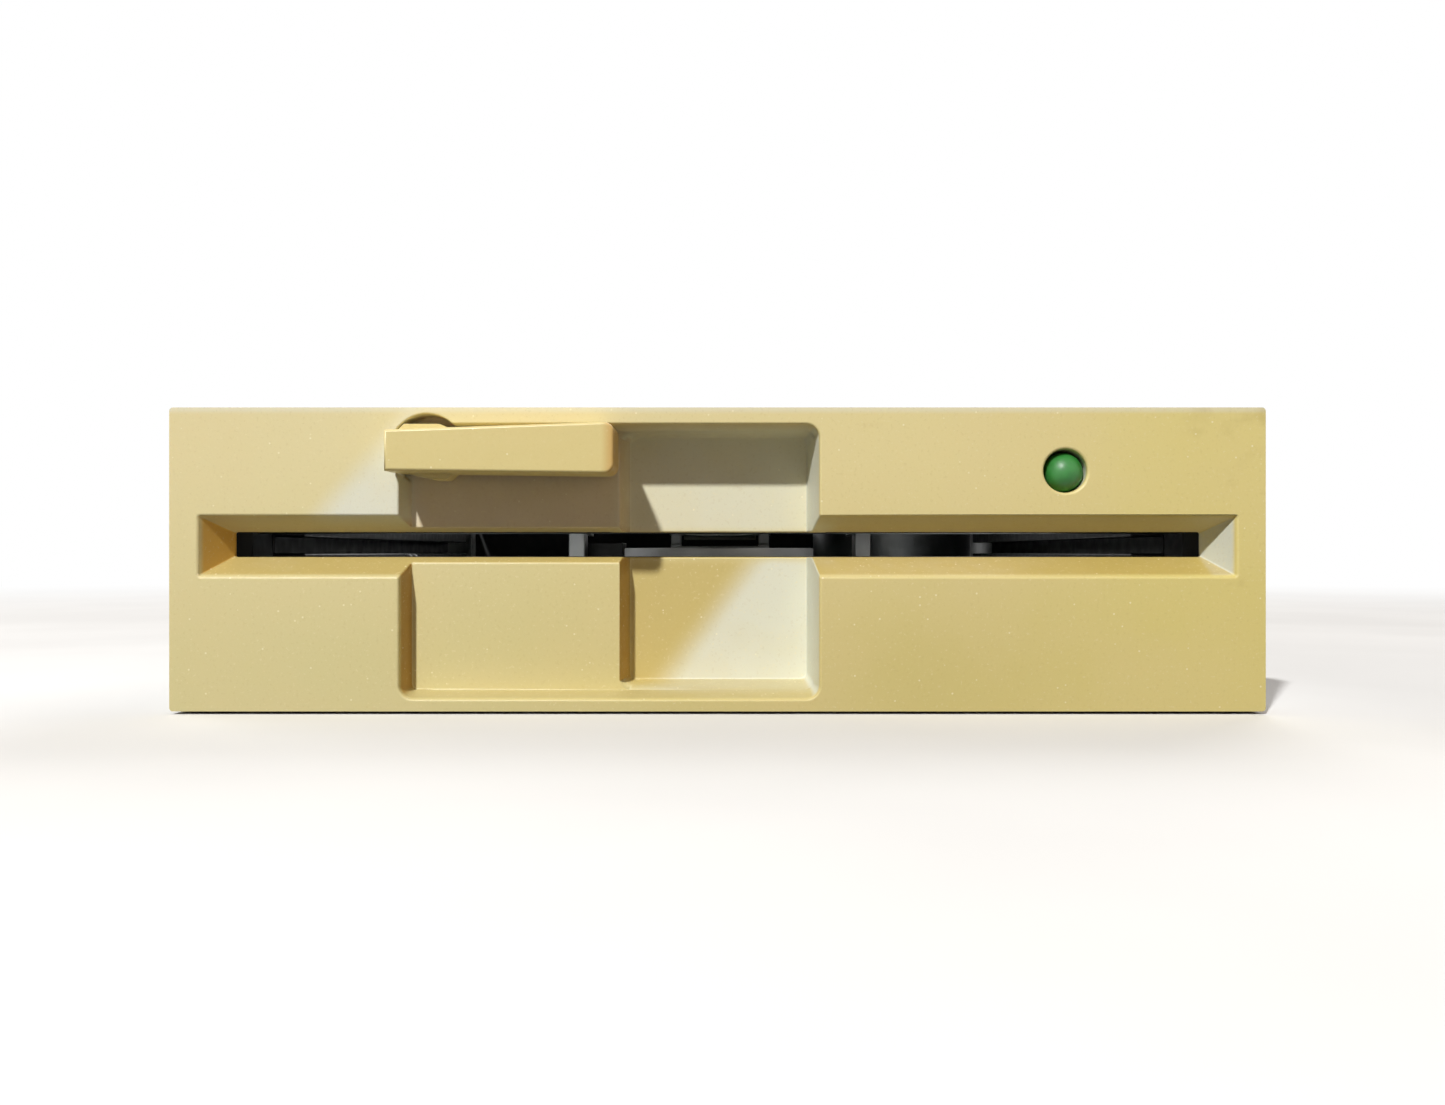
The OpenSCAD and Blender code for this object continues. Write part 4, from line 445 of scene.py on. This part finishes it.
def folds(mesh):
    """Places where a rounding that is too wide has folded a face over itself."""
    form = bmesh.new()
    form.from_mesh(mesh)
    form.normal_update()
    folded_back = math.radians(150)
    places = [(e.verts[0].co + e.verts[1].co) / 2 for e in form.edges
              if len(e.link_faces) == 2 and e.calc_face_angle(0) > folded_back]
    for face in form.faces:
        corners = [v.co.copy() for v in face.verts]
        if len(corners) < 5:
            continue
        # cut into triangles, an outline that crosses itself covers more than its own area
        cut = sum(((corners[b] - corners[a]).cross(corners[c] - corners[a])).length / 2
                  for a, b, c in tessellate_polygon([corners]))
        if cut >= face.calc_area() * 1.001 + 1e-9:
            places.extend(crossings(corners, face.normal))
    form.free()
    return places


def merged_form(node):
    """A copy of the node's mesh with its flat faces merged, and its sharp edges: their numbers and ends."""
    same_place, same_plane = 0.002 * MM, math.radians(0.6)
    curved = math.radians(32)  # edges flatter than this belong to a curved surface
    mesh = NODES[node].data.copy()
    form = bmesh.new()
    form.from_mesh(mesh)
    bmesh.ops.remove_doubles(form, verts=form.verts, dist=same_place)
    bmesh.ops.dissolve_degenerate(form, dist=same_place, edges=form.edges)
    bmesh.ops.dissolve_limit(form, angle_limit=same_plane, verts=form.verts, edges=form.edges)
    form.edges.ensure_lookup_table()
    form.to_mesh(mesh)
    sharp = [e.index for e in form.edges if len(e.link_faces) == 2 and e.calc_face_angle(0) > curved]
    ends = np.array([[tuple(v.co) for v in form.edges[i].verts] for i in sharp])
    form.free()
    mesh.shade_smooth()
    return mesh, sharp, ends


def near_edges(ends, place, reach):
    """Which edges pass within reach of a place."""
    run = ends[:, 1] - ends[:, 0]
    along = ((place - ends[:, 0]) * run).sum(1) / np.maximum((run ** 2).sum(1), 1e-12)
    nearest = ends[:, 0] + run * np.clip(along, 0, 1)[:, None]
    return np.linalg.norm(nearest - place, axis=1) < reach


def rounded_copy(node, width_mm, steps=2, share=None):
    """The node's own form with merged faces and rounded edges; share(middle) gives an edge part of the width.

    Where the rounding folds a face, the edges within reach (in widths) of that place are rounded less,
    and it is tried again. In the last tries an edge that is hardly rounded any more stays sharp."""
    tries, last_tries, narrower, hardly, reach = 9, 3, 0.62, 0.1, 1.6
    mesh, sharp, ends = merged_form(node)
    full = np.array([share(Vector((a + b) / 2)) if share else 1.0 for a, b in ends])
    part = full.copy()
    piece = bpy.data.objects.new("draft", mesh)
    bpy.context.collection.objects.link(piece)
    bevel = piece.modifiers.new("rounding", "BEVEL")
    bevel.width = width_mm * MM
    bevel.segments = steps
    bevel.limit_method = "WEIGHT"
    bevel.use_clamp_overlap = False
    bevel.miter_outer = "MITER_ARC"
    mesh.attributes.new("bevel_weight_edge", "FLOAT", "EDGE")
    for attempt in range(1, tries + 1):
        values = np.zeros(len(mesh.edges))
        values[sharp] = part
        mesh.attributes["bevel_weight_edge"].data.foreach_set("value", values)
        mesh.update()
        graph = bpy.context.evaluated_depsgraph_get()
        result = bpy.data.meshes.new_from_object(piece.evaluated_get(graph))
        places = folds(result)
        if not places or attempt == tries:
            break
        for place in places:
            close = near_edges(ends, np.array(place), reach * full * width_mm * MM)
            part[close] = np.minimum(part[close], full[close] * narrower ** attempt)
        if attempt > tries - last_tries:
            part[part < hardly * full] = 0
    bpy.data.objects.remove(piece)
    result.set_sharp_from_angle(angle=math.radians(50))
    piece = bpy.data.objects.new("draft", result)
    bpy.context.collection.objects.link(piece)
    even = piece.modifiers.new("flats", "WEIGHTED_NORMAL")
    even.keep_sharp = True
    return evaluated_mesh(piece)


def bezel_edge(middle):
    """The bezel's four outer corners are the roundest, then its rim, then the edges of its openings."""
    # just inside the bezel's outer faces
    right, top, bottom = 74.2 * MM, 41.1 * MM, 0.1 * MM
    side = abs(middle.x) > right
    end = middle.z > top or middle.z < bottom
    if side and end:
        return 1.0
    return 0.5 if side or end else 0.25


for node, (finish, width) in DRESS.items():
    if width:
        steps = 4 if node in ("bezel", "lever") else 2
        form = rounded_copy(node, width, steps, bezel_edge if node == "bezel" else None)
        new_piece(node + "_form", form, BODY_OF[node], finish, (node,))
    else:
        materials = NODES[node].data.materials
        materials.clear()
        materials.append(FINISH[finish])

# Small parts that repeat


def grown(name, places, sizes, build, body, finish):
    """Copies of one small form at (x, y, z, turn) places, by a Geometry Nodes tree with named sizes in mm."""
    spots = bpy.data.meshes.new(name)
    spots.from_pydata([p[:3] for p in places], [], [])
    turn = spots.attributes.new("turn", "FLOAT", "POINT")
    turn.data.foreach_set("value", [p[3] for p in places])
    piece = bpy.data.objects.new(name, spots)
    bpy.context.collection.objects.link(piece)
    tree = bpy.data.node_groups.new(name, "GeometryNodeTree")
    tree.interface.new_socket("Places", in_out="INPUT", socket_type="NodeSocketGeometry")
    sockets = {key: tree.interface.new_socket(key, in_out="INPUT", socket_type="NodeSocketFloat")
               for key in sizes}
    tree.interface.new_socket("Form", in_out="OUTPUT", socket_type="NodeSocketGeometry")
    given = add(tree, "NodeGroupInput").outputs
    angle = add(tree, "GeometryNodeInputNamedAttribute", {"Name": "turn"}, data_type="FLOAT")
    spin = add(tree, "ShaderNodeCombineXYZ", {"Z": angle.outputs["Attribute"]})
    copies = add(tree, "GeometryNodeInstanceOnPoints", {
        "Points": given["Places"], "Instance": build(tree, given), "Rotation": spin.outputs["Vector"]})
    real = add(tree, "GeometryNodeRealizeInstances", {"Geometry": copies.outputs["Instances"]})
    dressed = add(tree, "GeometryNodeSetMaterial", {
        "Geometry": real.outputs["Geometry"], "Material": FINISH[finish]})
    add(tree, "NodeGroupOutput", {"Form": dressed.outputs["Geometry"]})
    grow = piece.modifiers.new("grow", "NODES")
    grow.node_group = tree
    for key, value in sizes.items():
        grow[sockets[key].identifier] = value * MM
    return new_piece(name, evaluated_mesh(piece), body, finish, smooth=30)


def tree_box(tree, size, centre):
    """A box of three size sockets or numbers, moved so that its middle is at centre."""
    def triple(values):
        return add(tree, "ShaderNodeCombineXYZ", dict(zip("XYZ", values))).outputs["Vector"]
    cube = add(tree, "GeometryNodeMeshCube", {"Size": triple(size)})
    return add(tree, "GeometryNodeTransform", {
        "Geometry": cube.outputs["Mesh"], "Translation": triple(centre)}).outputs["Geometry"]


def joined(tree, forms):
    """Several forms as one geometry."""
    join = add(tree, "GeometryNodeJoinGeometry")
    for form in forms:
        tree.links.new(form, join.inputs[0])
    return join.outputs[0]


def chip_leg(tree, given):
    """A bent leg: a shoulder out of the chip's side and a blade down into the board."""
    wide, thin, reach, drop = (given[key] for key in ("Width", "Thickness", "Reach", "Drop"))
    shoulder = tree_box(tree, (wide, reach, thin), (0.0, multiply(tree, reach, 0.5), 0.0))
    blade = tree_box(tree, (wide, thin, drop), (0.0, reach, multiply(tree, drop, -0.5)))
    return joined(tree, (shoulder, blade))


def dipped_capacitor(tree, given):
    """A flattened drop of ceramic on two wires."""
    radius, thick = given["Radius"], given["Wire"]
    ball = add(tree, "GeometryNodeMeshUVSphere", {"Segments": 14, "Rings": 9, "Radius": radius})
    lift = add(tree, "ShaderNodeCombineXYZ", {"Z": multiply(tree, radius, 1.25)})
    drop = add(tree, "GeometryNodeTransform", {
        "Geometry": ball.outputs["Mesh"], "Translation": lift.outputs[0], "Scale": (1.0, 0.5, 1.0)})
    half = multiply(tree, radius, 0.5)
    wires = [tree_box(tree, (thick, thick, radius), (multiply(tree, radius, side), 0.0, half))
             for side in (-0.55, 0.55)]
    return joined(tree, (drop.outputs["Geometry"], *wires))


def card_strip(name, left, right, depth, bottom, top, thick=0.4, foot=3.0):
    """Strip of black fibre card folded along its foot, set behind the slot as a dark sheet so that the
    drive's inside reads dark through it: painted shade.
    """
    near = depth - thick
    section = [(depth - foot, bottom), (depth - foot, bottom + thick), (near, bottom + thick),
               (near, top), (depth, top), (depth, bottom)]
    form = bmesh.new()
    ends = [[form.verts.new(at(x, y, z)) for y, z in section] for x in (left, right)]
    for end in ends:
        form.faces.new(end)
    for i in range(len(section)):
        k = (i + 1) % len(section)
        form.faces.new((ends[0][i], ends[0][k], ends[1][k], ends[1][i]))
    bmesh.ops.recalc_face_normals(form, faces=form.faces)
    bmesh.ops.bevel(form, geom=form.edges[:], offset=0.1 * MM, segments=2, affect="EDGES")
    mesh = bpy.data.meshes.new(name)
    form.to_mesh(mesh)
    form.free()
    return new_piece(name, mesh, "drive", "card", smooth=40)


# painted shade: a dark card that hides the white background, which would show through the drive behind the
# slot
card_strip("throat_shade_card", left=-69.0, right=30.0, depth=184.4, bottom=15.5, top=27.8)

# the board's upper side, the shoulder of the legs over it and the step from leg to leg, mm
BOARD_TOP, SHOULDER, LEG_PITCH = 35.6, 1.9, 2.54
# chips as in the CAD: left end, near side, length, width
CHIPS = [(-44, 118, 52, 13.8), (14, 118, 36, 13.8),
         (-44, 141, 19.6, 6.4), (-18, 141, 19.6, 6.4), (8, 141, 19.6, 6.4),
         (-44, 157, 19.6, 6.4), (-18, 157, 19.6, 6.4), (8, 157, 22, 6.4),
         (-44, 172, 19.6, 6.4)]
# the legs start this far inside the chip's side, so that no gap shows
INSIDE = 0.2
# from a chip's end to the middle of its capacitor
BESIDE = 2.6
leg_places, capacitor_places = [], []
for left, near, length, width in CHIPS:
    count = int(length / LEG_PITCH)
    first = left + length / 2 - (count - 1) / 2 * LEG_PITCH
    for i in range(count):
        for side, turn in ((width - INSIDE, 0.0), (INSIDE, math.pi)):
            leg_places.append((*at(first + i * LEG_PITCH, near + side, BOARD_TOP + SHOULDER), turn))
    # the capacitor stands at the left end, for the chips in the first column at the right end
    beside = left - BESIDE if left > -40 else left + length + BESIDE
    capacitor_places.append((*at(beside, near + width / 2, BOARD_TOP), math.pi / 2))
grown("chip_legs", leg_places, {"Width": 0.9, "Thickness": 0.28, "Reach": 0.65, "Drop": SHOULDER},
      chip_leg, "drive", "screw")
grown("bypass_capacitors", capacitor_places, {"Radius": 1.7, "Wire": 0.5},
      dipped_capacitor, "drive", "ceramic")

# Floor, light and camera


def to_the_eye(tree):
    """1 for what the camera sees, straight, in a gloss or through glass, 0 for light that falls on things."""
    ray = add(tree, "ShaderNodeLightPath").outputs
    seen = ray["Is Camera Ray"]
    for other in ("Is Glossy Ray", "Is Transmission Ray"):
        seen = add(tree, "ShaderNodeMath", {0: seen, 1: ray[other]}, operation="MAXIMUM").outputs["Value"]
    return seen


def floor():
    """Pale to the eye, but it throws little light back, as the dark paper under the drive did, and away
    from the drive it fades into the white background."""
    half, below = 6.0, 0.0004
    fade_from, fade_to = 0.22, 0.75  # metres from the drive's middle
    corners = [(-half, -half, 0), (half, -half, 0), (half, half, 0), (-half, half, 0)]
    mesh = bpy.data.meshes.new("floor")
    mesh.from_pydata(corners, [], [(0, 1, 2, 3)])
    ground = bpy.data.objects.new("floor", mesh)
    bpy.context.collection.objects.link(ground)
    ground.location.z = -below
    f = Finish("pale_floor", Roughness=0.9, Specular_IOR_Level=0.0, Emission_Color=(1, 1, 1, 1))
    seen = to_the_eye(f.tree)
    shade = f.mix(f.band(f.noise(90, 3), 0.3, 0.7), colour("#e9e9e7"), colour("#e3e3e1"))
    away = f.add("ShaderNodeVectorMath", {0: f.where}, operation="LENGTH").outputs["Value"]
    fade = f.times(f.band(away, fade_from, fade_to), seen)
    shade = f.mix(fade, f.mix(seen, colour("#5a5854"), shade), colour("#000000"))
    f.set(Base_Color=shade, Emission_Strength=fade)
    mesh.materials.append(f.done())


def background():
    """White to the eye, and a faint warm light from all sides on the drive."""
    world = bpy.data.worlds.new("studio")
    bpy.context.scene.world = world
    world.use_nodes = True
    tree = world.node_tree
    tree.nodes.clear()
    soft = add(tree, "ShaderNodeBackground", {"Color": colour("#ffe6d6"), "Strength": 0.15})
    white = add(tree, "ShaderNodeBackground", {"Color": (1, 1, 1, 1), "Strength": 1.0})
    both = add(tree, "ShaderNodeMixShader", {0: to_the_eye(tree), 1: soft.outputs[0], 2: white.outputs[0]})
    add(tree, "ShaderNodeOutputWorld", {"Surface": both.outputs[0]})


def lamp(name, place, target, size, power, tint="#ffffff"):
    """A round area lamp, size in metres and power in watts, turned to its target."""
    light = bpy.data.lights.new(name, "AREA")
    light.shape, light.size, light.energy = "DISK", size, power
    light.color = colour(tint)[:3]
    piece = bpy.data.objects.new(name, light)
    bpy.context.collection.objects.link(piece)
    piece.location = place
    piece.rotation_euler = (Vector(target) - Vector(place)).to_track_quat("-Z", "Y").to_euler()


def photo_camera():
    """The photograph's own view: square on to the bezel, close to it."""
    middle_x, middle_z = 0.68, 21.54  # the photograph's centre on the bezel, mm
    away = 170.0                      # distance from the bezel's face, mm
    pixels_per_mm = 7.38              # on the bezel's face, in a frame as wide as frame_width
    frame_width = 1445
    camera = bpy.data.cameras.new("camera")
    camera.sensor_width = 36.0
    camera.lens = pixels_per_mm * away / frame_width * camera.sensor_width
    camera.clip_start = 0.005
    camera.clip_end = 50
    eye = bpy.data.objects.new("camera", camera)
    bpy.context.collection.objects.link(eye)
    eye.location = at(middle_x, -away, middle_z)
    eye.rotation_euler = (math.radians(90), 0, 0)
    bpy.context.scene.camera = eye


floor()
background()
# the photograph's one small light, high on the left, which draws the lever's shadow on the recess
lamp("key", (-0.387, -0.992, 0.893), (0, -0.09, 0.02), 0.06, 18.4)
# wide soft lamps for the sides that the key doesn't reach
drive_middle = (0, 0, 0.02)
lamp("fill", (0.9, -0.8, 0.4), drive_middle, 0.8, 0.7, "#ffdcc4")
lamp("back", (0.5, 1.0, 0.9), drive_middle, 0.9, 10.0)
lamp("side", (-1.0, 0.5, 0.7), drive_middle, 0.8, 5.0)
photo_camera()
bpy.context.scene.view_settings.view_transform = "Standard"
